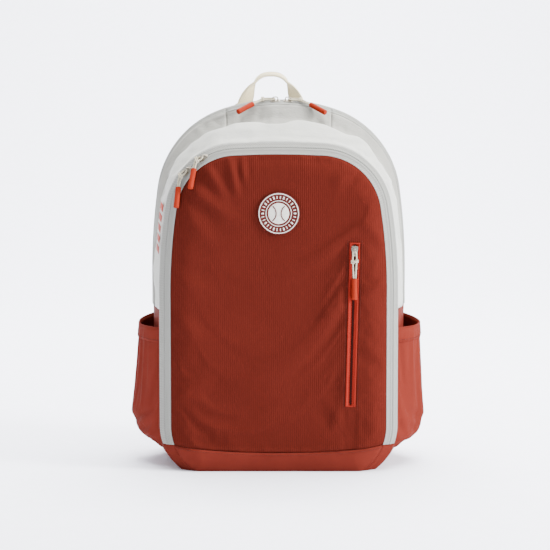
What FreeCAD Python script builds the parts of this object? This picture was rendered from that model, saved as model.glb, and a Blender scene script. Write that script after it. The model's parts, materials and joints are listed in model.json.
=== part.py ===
"""A two-compartment racket backpack that stands on its base.

Millimetres. +X is the wearer's left as seen from the front of the bag, -Y is the front, +Z is up.
The origin is on the floor, under the middle of the bag's box.

The sewn carcass is a stack of stations, outlines in XZ planes from the front to the back. Each
panel of the bag is the shell between neighbouring stations, cut where the real seams run.
"""
import FreeCAD, Part
import math
import os
from collections import namedtuple

V = FreeCAD.Vector
OUT = "parts"

# ---- driving dimensions --------------------------------------------------------------------
FABRIC = 2.4                # thickness of a lined and padded wall
BINDING = 1.6               # thickness of a zip tape
CLEAR = 0.3                 # gap between pieces that move past each other
SEAM_Z = 37.0               # seam between the front panel and the lower band
SIDE_TOP = 212.0            # top of the coated side panels
MOUTH_HALF = 70.0           # half length of the part of the mouth that folds forward
FOOT_RISE = 62.0            # height at which the sides start to turn in to the floor

# One outline: a floor, foot arcs, straight sides, leaning side arcs, shoulder arcs and a crown
# arc, all tangent above the floor. lean and crown are angles, in degrees.
Station = namedtuple("Station", "y half top side lean shoulder crown foot")
PANEL = Station(-87.0, 139.0, 412.0, 700.0, 9.0, 78.0, 3.0, 73.5)
FRONT_ZIP = Station(-81.5, 146.5, 419.5, 707.5, 9.0, 85.5, 3.0, 74.5)
TAPE_EDGE = Station(-76.0, 154.0, 427.0, 715.0, 9.0, 93.0, 3.0, 75.0)
CREST = Station(-38.0, 161.0, 458.0, 760.0, 9.0, 105.0, 14.0, 80.0)
VALLEY = Station(-24.0, 163.5, 447.0, 780.0, 8.5, 108.0, 17.0, 80.0)
ZIP_FRONT = Station(4.0, 166.5, 477.0, 800.0, 8.0, 124.0, 20.0, 80.0)
MAIN_ZIP = Station(12.0, 167.5, 481.0, 801.0, 8.0, 125.0, 20.0, 80.0)
ZIP_REAR = Station(20.0, 168.0, 483.5, 801.5, 8.0, 125.5, 20.0, 80.0)
BACK = Station(81.0, 160.0, 474.0, 790.0, 8.0, 118.0, 20.0, 80.0)
CARCASS = [TAPE_EDGE, CREST, VALLEY, ZIP_FRONT, MAIN_ZIP, ZIP_REAR, BACK]

BULGE = 12.0                # how far the front panel stands out of its zip
FACE_INSET = 20.0           # the front panel's flat middle lies this far inside its edge
FACE_FLOOR = 14.0           # the flat middle stops this far above the floor

COIL = 1.6                  # zip coil, width and height
POCKET_ZIP_X = 97.0         # pocket zip: middle, ends, width of its slot and lean from upright
POCKET_ZIP_LOW = 90.0
POCKET_ZIP_HIGH = 298.0
POCKET_ZIP_WIDTH = 11.0
POCKET_ZIP_LEAN = 1.4
BADGE_Z = 337.0
BADGE_R = 27.0

SIDE_POCKET_RIM = 191.5     # height of a side pocket's rim at its middle
RIM_SLOPE = 4.3             # the rim rises towards the back by this many degrees
POCKET_WALL = 1.8
HEM = 9.0

SLIDER_WIDTH = 8.6
SLIDER_LENGTH = 13.0
PLATE = 1.5                 # slider's cover plate
BAIL = 1.4                  # slider's bail, width and thickness
BAIL_LENGTH = 8.0
BAIL_RISE = 5.2
CORD = 2.0                  # puller cord's diameter
LEG_OUT = 2.4               # each leg of the cord's loop from the loop's middle
LEG_AT_SLEEVE = 1.2
SLEEVE_R = 3.6
SLEEVE_LENGTH = 27.0

HANDLE_X = -10.0            # the haul loop sits a little to one side
HANDLE_FEET = 73.0          # distance between the middles of its feet
HANDLE_RISE = 44.0
HANDLE_WIDTH = 21.0
WEBBING = 2.4

BACK_FACE = BACK.y + 3.0    # outside of the back panel
PAD_DEPTH = 9.0
STRAP_DEPTH = 12.0
STRAP_Y = BACK_FACE + PAD_DEPTH + 1.0
STRAP_TOP = 432.0
STRAP_LOW = 150.0
STRAP_WIDTH = 62.0
STRAP_X_TOP = 48.0
STRAP_X_LOW = 104.0
WEB_WIDTH = 25.0
ANCHOR_X = 128.0
ANCHOR_Z = 46.0


# ---- outlines and shells ---------------------------------------------------------------------
def arc_point(centre, r, degrees, y):
    """A point of a circle in the plane y, with the angle measured from +X towards +Z."""
    a = math.radians(degrees)
    return V(centre[0] + r * math.cos(a), y, centre[1] + r * math.sin(a))


def shoulder_centre(s):
    """Where the right shoulder arc of a station is centred: (x, z)."""
    x = s.half - s.side + (s.side - s.shoulder) * math.cos(math.radians(s.lean))
    return x, s.top - s.shoulder - x * math.tan(math.radians(s.crown) / 2)


def side_centre(s):
    """Where the right side arc of a station is centred: (x, z)."""
    z = shoulder_centre(s)[1] - (s.side - s.shoulder) * math.sin(math.radians(s.lean))
    return s.half - s.side, z


def crown_radius(s):
    """Radius of the arc across the top of a station."""
    return s.shoulder + shoulder_centre(s)[0] / math.sin(math.radians(s.crown))


def inset(s, depth):
    """The same station moved inwards by a wall's thickness, floor aside."""
    return s._replace(half=s.half - depth, top=s.top - depth, side=s.side - depth,
                      shoulder=s.shoulder - depth, foot=s.foot - depth)


def arc(centre, r, start, end, y):
    """Three points of an arc, for its start, middle and end."""
    return [arc_point(centre, r, a, y) for a in (start, (start + end) / 2, end)]


def outline(s, floor=0.0):
    """The closed wire of a station: right foot, side and shoulder, the crown, the left half."""
    foot_centre = (s.half - s.foot, FOOT_RISE)
    foot_angle = -math.degrees(math.asin((FOOT_RISE - floor) / s.foot))
    foot = arc(foot_centre, s.foot, foot_angle, 0, s.y)
    side = arc(side_centre(s), s.side, 0, s.lean, s.y)
    shoulder = arc(shoulder_centre(s), s.shoulder, s.lean, 90 - s.crown, s.y)
    right = [foot, [foot[2], side[0]], side, shoulder]
    left = [[V(-p.x, p.y, p.z) for p in reversed(run)] for run in reversed(right)]
    crown = [[shoulder[2], V(0, s.y, s.top), left[0][0]]]
    floor_line = [[left[-1][-1], foot[0]]]
    edges = []
    for run in right + crown + left + floor_line:
        edges.append(Part.Arc(*run).toShape() if len(run) == 3 else Part.makeLine(*run))
    return Part.Wire(edges)


def solid_between(a, b, floor_a=0.0, floor_b=0.0):
    """The filled solid between two stations."""
    return Part.makeLoft([outline(a, floor_a), outline(b, floor_b)], True, True)


def shell_between(a, b, wall=FABRIC):
    """The hollow shell between two stations, with its wall inside them."""
    inner = solid_between(inset(a, wall), inset(b, wall), wall, wall)
    return solid_between(a, b).cut(inner)


def block(x0, x1, y0, y1, z0, z1):
    """A box from its lowest and highest corners."""
    return Part.makeBox(x1 - x0, y1 - y0, z1 - z0, V(x0, y0, z0))


def chain(stations, wall=FABRIC):
    """The shells between each station and the next, as one solid."""
    shells = [shell_between(a, b, wall) for a, b in zip(stations, stations[1:])]
    return shells[0].fuse(shells[1:]).removeSplitter()


def mirrored(shape):
    """The same shape on the other side of the bag."""
    return shape.mirror(V(0, 0, 0), V(1, 0, 0))


def turn(degrees, tilt):
    """A turn by tilt about the piece's own Z, then by degrees about Y."""
    tilted = FreeCAD.Rotation(V(0, 0, 1), tilt)
    return FreeCAD.Rotation(V(0, 1, 0), degrees).multiply(tilted)


def placed(shape, at, degrees=0.0, tilt=0.0):
    """A shape built at the origin, turned and then moved to its place."""
    moved = shape.copy()
    moved.Placement = FreeCAD.Placement(at, turn(degrees, tilt))
    return moved


def rounded(shape, radius):
    """The shape with its edges that run from front to back rounded."""
    through = [e for e in shape.Edges if abs(e.Vertexes[0].Y - e.Vertexes[-1].Y) > 0.5]
    return shape.makeFillet(radius, through)


def export(name, *solids):
    """Writes one node, which may be a group of separate solids."""
    shape = solids[0] if len(solids) == 1 else Part.makeCompound(list(solids))
    assert shape.isValid() and shape.Volume > 0, name
    shape.exportStep(os.path.join(OUT, name + ".step"))


# ---- the carcass -----------------------------------------------------------------------------
FAR = 400.0
FLOOR_X = 114.0             # where the floor panel ends and the side panels turn up


def above(z):
    """Everything above a height."""
    return block(-FAR, FAR, -FAR, FAR, z, 2 * FAR)


def build_carcass():
    """Walls of the bag behind the front zip."""
    low = block(-FAR, FAR, -FAR, FAR, 0, SIDE_TOP)
    walls = chain(CARCASS).common(low)
    export("base_panel", block(-FLOOR_X, FLOOR_X, TAPE_EDGE.y, BACK.y, 0, FABRIC))
    side = walls.common(block(FLOOR_X, FAR, -FAR, FAR, 0, SIDE_TOP))
    export("side_panel_right", side)
    export("side_panel_left", mirrored(side))

    high = above(SIDE_TOP)
    beside_mouth = block(MOUTH_HALF + CLEAR, FAR, -FAR, FAR, SIDE_TOP, 2 * FAR)
    export("front_gusset", chain([TAPE_EDGE, CREST, VALLEY]).common(high))
    strip = shell_between(VALLEY, ZIP_FRONT)
    strip_side = strip.common(beside_mouth)
    export("mid_gusset_right", strip_side)
    export("mid_gusset_left", mirrored(strip_side))
    zip_line = MAIN_ZIP._replace(y=MAIN_ZIP.y - CLEAR / 2)
    tape = shell_between(ZIP_FRONT, zip_line, BINDING)
    tape_side = tape.common(beside_mouth)
    export("main_tape_front", tape_side, mirrored(tape_side))
    zip_line = MAIN_ZIP._replace(y=MAIN_ZIP.y + CLEAR / 2)
    export("main_tape_rear", shell_between(zip_line, ZIP_REAR, BINDING).common(high))
    under = inset(MAIN_ZIP, BINDING)._replace(y=MAIN_ZIP.y + CLEAR)
    coil = shell_between(under, under._replace(y=under.y + COIL), COIL)
    export("main_coil", coil.common(high))
    export("rear_gusset", shell_between(ZIP_REAR, BACK).common(high))

    # The folding front of the mouth clears the seam in the valley that it turns about.
    middle = block(-MOUTH_HALF, MOUTH_HALF, VALLEY.y + 4.0, FAR, SIDE_TOP, 2 * FAR)
    export("mouth_gusset", strip.common(middle))
    export("mouth_tape", tape.common(middle))


BOARD = 1.5
FOAM = 7.0


def build_inside():
    """Divider, floor board, back foam and back board, cut to the inside of the carcass."""
    inner = [inset(s, FABRIC) for s in CARCASS]
    crest_room = solid_between(inner[1], inner[2], FABRIC, FABRIC)
    back_room = solid_between(inner[-2], inner[-1], FABRIC, FABRIC)
    export("divider", crest_room.common(block(-FAR, FAR, VALLEY.y - 1.6, VALLEY.y, 0, 2 * FAR)))
    half = FLOOR_X - 3
    export("base_board", block(-half, half, VALLEY.y + 2, BACK.y - 14, FABRIC, FABRIC + BOARD))
    foam_front = BACK.y - FOAM
    export("back_foam", back_room.common(block(-FAR, FAR, foam_front, BACK.y, 0, 2 * FAR)))
    sheet = inset(BACK, 12.0)._replace(y=foam_front - BOARD)
    export("back_board", solid_between(sheet, sheet._replace(y=foam_front), 8.0, 8.0))


# ---- the front -------------------------------------------------------------------------------
FACE_Y = PANEL.y - BULGE


def front_skin():
    """Front panel and lower band in one: a shallow dome with a flat middle."""
    face = inset(PANEL, FACE_INSET)._replace(y=FACE_Y)
    hollow_face = inset(face, FABRIC)._replace(y=FACE_Y + FABRIC)
    dome = solid_between(PANEL, face, 0.0, FACE_FLOOR)
    hollow = solid_between(inset(PANEL, FABRIC), hollow_face, FABRIC, FACE_FLOOR + FABRIC)
    return dome.cut(hollow)


def pocket_strip(half_width, front, back):
    """A strip along the pocket zip, between two depths behind the face."""
    strip = block(-half_width, half_width, front, back, POCKET_ZIP_LOW - POCKET_ZIP_HIGH, 0)
    return placed(strip, V(POCKET_ZIP_X, FACE_Y, POCKET_ZIP_HIGH), POCKET_ZIP_LEAN)


def build_front():
    """Front panel that opens as a flap, the band under it, and the zip between them and the bag."""
    skin = front_skin()
    # The band carries on back to the side panels under the zip's lower ends.
    band = skin.fuse(chain([PANEL, FRONT_ZIP, TAPE_EDGE])).cut(above(SEAM_Z)).removeSplitter()
    export("front_band", band)

    flap_room = above(SEAM_Z + CLEAR)
    slot = pocket_strip(POCKET_ZIP_WIDTH / 2, -9, 9)
    export("front_panel", skin.common(flap_room).cut(slot))
    half_gap = CLEAR / 2
    inner = shell_between(PANEL, FRONT_ZIP._replace(y=FRONT_ZIP.y - half_gap), BINDING)
    outer = shell_between(FRONT_ZIP._replace(y=FRONT_ZIP.y + half_gap), TAPE_EDGE, BINDING)
    export("front_tape_inner", inner.common(flap_room))
    export("front_tape_outer", outer.common(flap_room))
    under = inset(FRONT_ZIP, BINDING + CLEAR)
    spread = (FRONT_ZIP.half - PANEL.half) / (FRONT_ZIP.y - PANEL.y)
    for name, side in (("front_coil_inner", -1), ("front_coil_outer", 1)):
        rims = []
        for reach in (half_gap, half_gap + COIL):
            rims.append(inset(under, -side * reach * spread)._replace(y=under.y + side * reach))
        rims.sort(key=lambda rim: rim.y)
        export(name, shell_between(*rims, COIL).common(flap_room))

    tape = pocket_strip(POCKET_ZIP_WIDTH / 2, 0.6, 1.4).cut(pocket_strip(0.6, 0, 3))
    export("pocket_zip_tape", *tape.Solids)
    export("pocket_zip_coil", pocket_strip(COIL, 1.4, 2.1))
    export("pocket_bag", block(POCKET_ZIP_X - 150, POCKET_ZIP_X + 14, FACE_Y + FABRIC,
                               FACE_Y + FABRIC + 2.0, POCKET_ZIP_LOW - 26, POCKET_ZIP_HIGH + 8))
    export("badge", Part.makeCylinder(BADGE_R, 0.9, V(0, FACE_Y, BADGE_Z), V(0, -1, 0)))


# ---- side pockets ----------------------------------------------------------------------------
# Height, front seam, outermost point and back seam of a side pocket's outline, from its foot up.
PocketLevel = namedtuple("PocketLevel", "z front out back")
POCKET_LEVELS = [PocketLevel(26.0, 140.0, 160.0, 146.0), PocketLevel(46.0, 148.0, 183.0, 154.0),
                 PocketLevel(68.0, 151.0, 191.5, 157.0), PocketLevel(112.0, 151.0, 192.0, 157.0),
                 PocketLevel(205.0, 151.0, 186.5, 157.0)]
POCKET_FRONT, POCKET_BACK = TAPE_EDGE.y + 4.0, BACK.y - 12.0


def pocket_outline(level, grow, z):
    """The pocket's plan at one height: an arc from seam to seam, closed inside the bag."""
    inner_x = 120.0
    front = V(level.front + grow, POCKET_FRONT - grow, z)
    back = V(level.back + grow, POCKET_BACK + grow, z)
    middle = V(level.out + grow, (POCKET_FRONT + POCKET_BACK) / 2, z)
    corners = [back, V(inner_x, back.y, z), V(inner_x, front.y, z), front]
    lines = [Part.makeLine(a, b) for a, b in zip(corners, corners[1:])]
    return Part.Wire([Part.Arc(front, middle, back).toShape()] + lines)


def pocket_solid(grow, lift=0.0):
    """The pocket's filled shape, grown outwards, with its foot lifted."""
    heights = [max(level.z, POCKET_LEVELS[0].z + lift) for level in POCKET_LEVELS]
    wires = [pocket_outline(level, grow, z) for level, z in zip(POCKET_LEVELS, heights)]
    return Part.makeLoft(wires, True, True)


def above_rim(drop=0.0):
    """Everything above the pocket's sloping rim, lowered by drop."""
    room = block(-FAR, FAR, -FAR, FAR, 0, FAR)
    room.rotate(V(0, 0, 0), V(1, 0, 0), RIM_SLOPE)
    room.translate(V(0, 0, SIDE_POCKET_RIM - drop))
    return room


def largest(shape):
    """The largest solid of a shape that a cut has left in pieces."""
    return max(shape.Solids, key=lambda solid: solid.Volume)


def build_pockets():
    """Open side pockets with a bound rim."""
    bag = [solid_between(a, b) for a, b in zip(CARCASS, CARCASS[1:])]
    bag_side = bag[0].fuse(bag[1:])
    pocket = pocket_solid(0).cut(pocket_solid(-POCKET_WALL, POCKET_WALL))
    pocket = largest(pocket.cut(above_rim()).cut(bag_side))
    export("side_pocket_right", pocket)
    export("side_pocket_left", mirrored(pocket))
    hem = pocket_solid(0.8).cut(pocket_solid(0)).common(above_rim(HEM)).cut(above_rim())
    hem = largest(hem.cut(bag_side))
    export("pocket_hem_right", hem)
    export("pocket_hem_left", mirrored(hem))


# ---- sliders and pullers ---------------------------------------------------------------------
def slider_shape():
    """Cover plate with a bail, on the plane y = 0: it travels along Z and faces -Y."""
    half_w, half_l = SLIDER_WIDTH / 2, SLIDER_LENGTH / 2
    face, rise = -CLEAR - PLATE, -CLEAR - PLATE - BAIL_RISE
    plate = rounded(block(-half_w, half_w, face, -CLEAR, -half_l, half_l), 1.2)
    low, high = -BAIL_LENGTH / 2, BAIL_LENGTH / 2
    bail = block(-BAIL / 2, BAIL / 2, rise, face, low, high)
    bail = bail.cut(block(-BAIL, BAIL, rise + BAIL, face, low + BAIL, high - BAIL))
    return plate.fuse(bail).removeSplitter()


def tube_along(points, diameter):
    """A tube along straight runs that tangent arcs join; it prints the radii of those arcs."""
    edges, radii, start = [], [], points[0]
    for before, corner, after in zip(points, points[1:], points[2:]):
        into, out = corner - before, after - corner
        bend = into.getAngle(out)
        reach = 0.45 * min(into.Length, out.Length)
        radii.append(reach / math.tan(bend / 2))
        into.normalize()
        out.normalize()
        a, b = corner - into * reach, corner + out * reach
        away = (a + b) * 0.5 - corner
        away.normalize()
        middle = corner + away * (radii[-1] / math.cos(bend / 2) - radii[-1])
        edges += [Part.makeLine(start, a), Part.Arc(a, middle, b).toShape()]
        start = b
    edges.append(Part.makeLine(start, points[-1]))
    path = Part.Wire(edges)
    section = Part.Wire(Part.makeCircle(diameter / 2, points[0], points[1] - points[0]))
    tube = path.makePipeShell([section], True, False)
    filled = tube.Volume / (math.pi * diameter ** 2 / 4 * path.Length)
    print(f"cord {path.Length:.1f} mm, arc radii {[round(r, 1) for r in radii]} mm, fill {filled:.3f}")
    return tube


# A puller: where its slider sits and how it is turned, which way its cord leaves the bail, how far
# down it bends, which way it then hangs, and how far down its sleeve starts.
Pull = namedtuple("Pull", "name at degrees tilt leave bend hang drop")
UPPER_ANGLE, LOWER_ANGLE = 30.0, 47.5       # front sliders, left of the top of the corner arc
MAIN_LEFT_ANGLE, MAIN_RIGHT_ANGLE = 1.1, -3.1
FRONT_TILT = 36.3           # the front zip leans out by this much from facing forward
MAIN_TILT = 68.0            # the main zip leans back by this much from facing forward
LEAVE_RISE = 0.12           # a front puller's cord rises by this much of its run off the zip


def unit(x, y, z):
    """A direction of length one."""
    direction = V(x, y, z)
    direction.normalize()
    return direction


def pulls():
    """The five pullers of the bag."""
    lean = math.radians(POCKET_ZIP_LEAN)
    down = 9.0
    at = V(POCKET_ZIP_X - down * math.sin(lean), FACE_Y, POCKET_ZIP_HIGH - down * math.cos(lean))
    hang = unit(0, 0, -1)
    made = [Pull("pocket", at, POCKET_ZIP_LEAN, 0.0, hang, 14.5, hang, 35.0)]
    x, z = shoulder_centre(FRONT_ZIP)
    for name, angle, bend, hang, drop in (
            ("front_upper", UPPER_ANGLE, 10.0, unit(-0.16, -0.38, -0.90), 22.0),
            ("front_lower", LOWER_ANGLE, 12.0, unit(-0.10, -0.24, -0.96), 26.0)):
        at = arc_point((-x, z), FRONT_ZIP.shoulder, 90 + angle, FRONT_ZIP.y)
        turned = turn(270 - angle, FRONT_TILT)
        leave = turned.multVec(unit(0, -LEAVE_RISE, 1))
        made.append(Pull(name, at, 270 - angle, FRONT_TILT, leave, bend, hang, drop))
    radius = crown_radius(MAIN_ZIP)
    for name, angle, across in (("main_left", MAIN_LEFT_ANGLE, -1),
                                ("main_right", MAIN_RIGHT_ANGLE, 1)):
        at = arc_point((0, MAIN_ZIP.top - radius), radius, 90 + angle, MAIN_ZIP.y)
        degrees, tilt = -angle + 90 * across, -MAIN_TILT * across
        leave = turn(degrees, tilt).multVec(unit(0, 0, 1))
        hang = unit(across * 0.68, -0.52, -0.38)
        made.append(Pull(name, at, degrees, tilt, leave, 18.0, hang, 34.0))
    return made


def bail_point(pull):
    """Where the cord crosses under the bail."""
    out = V(0, -CLEAR - PLATE - (BAIL_RISE - BAIL) / 2, 0)
    return pull.at + turn(pull.degrees, pull.tilt).multVec(out)


def cord_route(pull):
    """The cord's corners: up one leg from the sleeve, across through the bail, down the other."""
    start = bail_point(pull)
    through = turn(pull.degrees, pull.tilt).multVec(V(1, 0, 0))
    apart = through - pull.hang * through.dot(pull.hang)
    apart.normalize()
    mouth = start + pull.leave * pull.bend + pull.hang * (pull.drop - pull.bend)
    legs = []
    for side in (-1, 1):
        legs.append([mouth + apart * (side * LEG_AT_SLEEVE),
                     start + pull.leave * pull.bend + through * (side * LEG_OUT),
                     start + pull.leave * 4.5 + through * (side * LEG_OUT),
                     start + pull.leave * 0.6 + through * (side * 1.6)])
    return legs[0] + legs[1][::-1], mouth


def build_pulls():
    """Sliders, and their cords with moulded sleeves."""
    for pull in pulls():
        export("slider_" + pull.name, placed(slider_shape(), pull.at, pull.degrees, pull.tilt))
        route, mouth = cord_route(pull)
        export("cord_" + pull.name, tube_along(route, CORD))
        sleeve = Part.makeCylinder(SLEEVE_R, SLEEVE_LENGTH, mouth, pull.hang)
        export("sleeve_" + pull.name, sleeve.makeFillet(0.8, sleeve.Edges[:1] + sleeve.Edges[2:]))


# ---- handle, straps and back -----------------------------------------------------------------
def loop_section(t):
    """The webbing's cross-section at t along the loop, from -1 at one foot to 1 at the other.

    The webbing stands across the bag at its feet and turns to lie from front to back on top.
    """
    sweep = math.radians(90 * (1 - abs(t) ** 1.3))
    side = 1 if t > 0 else -1
    flare = 9.0
    reach = (HANDLE_FEET / 2 - flare) * math.cos(sweep) ** 0.7 + flare * abs(t) ** 3
    centre = V(HANDLE_X + side * reach,
               BACK.y - 4.0, BACK.top + 2.0 + (HANDLE_RISE - 1.0) * math.sin(sweep))
    flat = math.radians(82 * min(1.0, max(0.0, (abs(t) - 0.25) / 0.75)))
    along = V(math.sin(sweep), 0, -side * math.cos(sweep))
    across = V(along.z, 0, -along.x)
    wide = V(0, 1, 0) * math.cos(flat) + across * math.sin(flat)
    thin = wide.cross(along)
    half_w, half_t = HANDLE_WIDTH / 2, WEBBING / 2
    corners = [centre + wide * (a * half_w) + thin * (b * half_t)
               for a, b in ((-1, -1), (1, -1), (1, 1), (-1, 1))]
    return Part.makePolygon(corners + corners[:1])


def build_handle():
    """Haul loop of webbing at the top of the back."""
    steps = 12
    sections = [loop_section(i / steps * 2 - 1) for i in range(steps + 1)]
    export("haul_handle", Part.makeLoft(sections, True, True))


def strap_pad_shape():
    """Right shoulder pad: an S in the plane of the back, extruded to its thickness."""
    half = STRAP_WIDTH / 2
    middle = [(STRAP_X_TOP, STRAP_TOP), (STRAP_X_TOP + 8, 360), (STRAP_X_TOP + 30, 270),
              (STRAP_X_LOW - 8, 205), (STRAP_X_LOW, STRAP_LOW)]
    widths = [half, half, half, half * 0.9, half * 0.62]
    edges, ends = [], []
    for sign in (1, -1):
        points = [V(x + sign * w, STRAP_Y, z) for (x, z), w in zip(middle, widths)]
        curve = Part.BSplineCurve()
        curve.interpolate(points)
        edges.append(curve.toShape())
        ends.append(points)
    (right_top, right_low), (left_top, left_low) = [(p[0], p[-1]) for p in ends]
    caps = [Part.makeLine(right_low, left_low), Part.makeLine(left_top, right_top)]
    wire = Part.Wire([edges[0], caps[0], edges[1], caps[1]])
    return Part.Face(wire).extrude(V(0, STRAP_DEPTH, 0))


LOCK_HEIGHT, LOCK_WIDTH, LOCK_DEPTH = 30.0, 34.0, 4.0
LOCK_Y = STRAP_Y + 4.0


def ladder_lock_shape():
    """A three-bar strap adjuster that hangs from the pad's lower end."""
    x0, top = STRAP_X_LOW - LOCK_WIDTH / 2, STRAP_LOW - 1.0
    body = block(x0, x0 + LOCK_WIDTH, LOCK_Y, LOCK_Y + LOCK_DEPTH, top - LOCK_HEIGHT, top)
    body = rounded(body, 3.0)
    slot_half = WEB_WIDTH / 2 + 0.8
    for low in (9.2, 17.7, 26.2):
        slot = block(STRAP_X_LOW - slot_half, STRAP_X_LOW + slot_half, LOCK_Y - 1,
                     LOCK_Y + LOCK_DEPTH + 1, top - low, top - low + 4.2)
        body = body.cut(slot)
    return body


def build_straps():
    """Shoulder straps, their adjusters, lower webbing and anchors, and the yoke they hang from."""
    top = V(STRAP_X_LOW, 0, STRAP_LOW - LOCK_HEIGHT - 6.5)
    foot = V(ANCHOR_X, 0, ANCHOR_Z)
    lean = math.degrees(math.atan2(foot.x - top.x, top.z - foot.z))
    web = block(-WEB_WIDTH / 2, WEB_WIDTH / 2, LOCK_Y + 0.8, LOCK_Y + 0.8 + WEBBING,
                0, (top - foot).Length)
    web.rotate(V(0, 0, 0), V(0, 1, 0), -lean)
    web.translate(foot)
    corners = [(ANCHOR_X - 22, 24), (ANCHOR_X + 10, 24), (ANCHOR_X + 14, ANCHOR_Z - 2),
               (ANCHOR_X - 12, ANCHOR_Z + 4)]
    tab_wire = Part.makePolygon([V(x, BACK_FACE, z) for x, z in corners + corners[:1]])
    tab = Part.Face(tab_wire).extrude(V(0, LOCK_Y - BACK_FACE, 0))
    pieces = {"strap_pad": strap_pad_shape(), "ladder_lock": ladder_lock_shape(),
              "strap_web": web, "strap_anchor": tab}
    for name, shape in pieces.items():
        export(name + "_right", shape)
        export(name + "_left", mirrored(shape))
    export("strap_yoke", block(-82, 82, BACK_FACE, STRAP_Y + 6.0, STRAP_TOP + 2.5, 450))


def build_back():
    """Back panel and its three pads."""
    export("back_panel", solid_between(BACK, BACK._replace(y=BACK_FACE)))
    upper = rounded(block(12, 116, BACK_FACE, BACK_FACE + PAD_DEPTH, 168, 420), 6.0)
    export("back_pad_right", upper)
    export("back_pad_left", mirrored(upper))
    lumbar = block(-108, 108, BACK_FACE, BACK_FACE + PAD_DEPTH, 64, 156)
    export("lumbar_pad", rounded(lumbar, 14.0))


if __name__ == "__main__":
    os.makedirs(OUT, exist_ok=True)
    build_carcass()
    build_inside()
    build_front()
    build_pockets()
    build_pulls()
    build_handle()
    build_straps()
    build_back()
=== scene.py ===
"""Looks of the racket backpack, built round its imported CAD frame. Metres, +Z up, the front faces -Y."""
import bpy
import json
import math
import numpy as np
from collections import namedtuple
from mathutils import Matrix, Vector, noise
from mathutils.geometry import delaunay_2d_cdt

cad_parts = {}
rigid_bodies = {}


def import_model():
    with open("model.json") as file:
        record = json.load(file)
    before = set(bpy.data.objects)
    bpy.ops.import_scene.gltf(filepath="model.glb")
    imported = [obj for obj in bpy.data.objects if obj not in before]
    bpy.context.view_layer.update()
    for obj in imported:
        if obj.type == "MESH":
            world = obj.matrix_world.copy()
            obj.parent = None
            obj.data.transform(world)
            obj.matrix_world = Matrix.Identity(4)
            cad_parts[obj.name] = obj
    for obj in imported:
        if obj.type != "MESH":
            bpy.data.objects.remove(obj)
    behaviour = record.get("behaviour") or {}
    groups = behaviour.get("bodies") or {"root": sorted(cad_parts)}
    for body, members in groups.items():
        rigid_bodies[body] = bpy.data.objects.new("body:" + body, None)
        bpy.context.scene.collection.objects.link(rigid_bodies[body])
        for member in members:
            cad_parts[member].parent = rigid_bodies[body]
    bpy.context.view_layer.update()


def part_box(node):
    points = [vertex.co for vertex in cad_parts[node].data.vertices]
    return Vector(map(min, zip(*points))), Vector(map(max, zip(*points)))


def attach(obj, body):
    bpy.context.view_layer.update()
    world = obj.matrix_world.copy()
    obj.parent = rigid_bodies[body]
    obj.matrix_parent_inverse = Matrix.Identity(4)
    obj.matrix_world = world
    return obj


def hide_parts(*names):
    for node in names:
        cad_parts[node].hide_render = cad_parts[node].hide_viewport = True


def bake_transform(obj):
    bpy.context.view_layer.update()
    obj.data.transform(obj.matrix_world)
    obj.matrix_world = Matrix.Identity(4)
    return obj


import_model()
MM = 0.001

# ---- driving dimensions, in millimetres ----------------------------------------------------
Station = namedtuple("Station", "y half top side lean shoulder crown foot")
PANEL = Station(-87.0, 139.0, 412.0, 700.0, 9.0, 78.0, 3.0, 73.5)
FRONT_ZIP = Station(-81.5, 146.5, 419.5, 707.5, 9.0, 85.5, 3.0, 74.5)
TAPE_EDGE = Station(-76.0, 154.0, 427.0, 715.0, 9.0, 93.0, 3.0, 75.0)
CREST = Station(-38.0, 161.0, 458.0, 760.0, 9.0, 105.0, 14.0, 80.0)
VALLEY = Station(-24.0, 163.5, 447.0, 780.0, 8.5, 108.0, 17.0, 80.0)
ZIP_FRONT = Station(4.0, 166.5, 477.0, 800.0, 8.0, 124.0, 20.0, 80.0)
MAIN_ZIP = Station(12.0, 167.5, 481.0, 801.0, 8.0, 125.0, 20.0, 80.0)
ZIP_REAR = Station(20.0, 168.0, 483.5, 801.5, 8.0, 125.5, 20.0, 80.0)
BACK = Station(81.0, 160.0, 474.0, 790.0, 8.0, 118.0, 20.0, 80.0)
WHOLE_BAG = [TAPE_EDGE, CREST, VALLEY, ZIP_FRONT, MAIN_ZIP, ZIP_REAR, BACK]
FOOT_RISE = 62.0
SEAM_Z = 37.0
SIDE_TOP = 212.0
MOUTH_HALF = 70.0
BULGE = 12.0
WALL = 0.0013  # the shell cloth's thickness, in metres
FACE_Y = PANEL.y - BULGE
POCKET_ZIP_X, POCKET_ZIP_LOW, POCKET_ZIP_HIGH = 97.0, 90.0, 298.0
POCKET_ZIP_LEAN = math.radians(1.4)
BADGE_Z, BADGE_R = 337.0, 27.0


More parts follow.
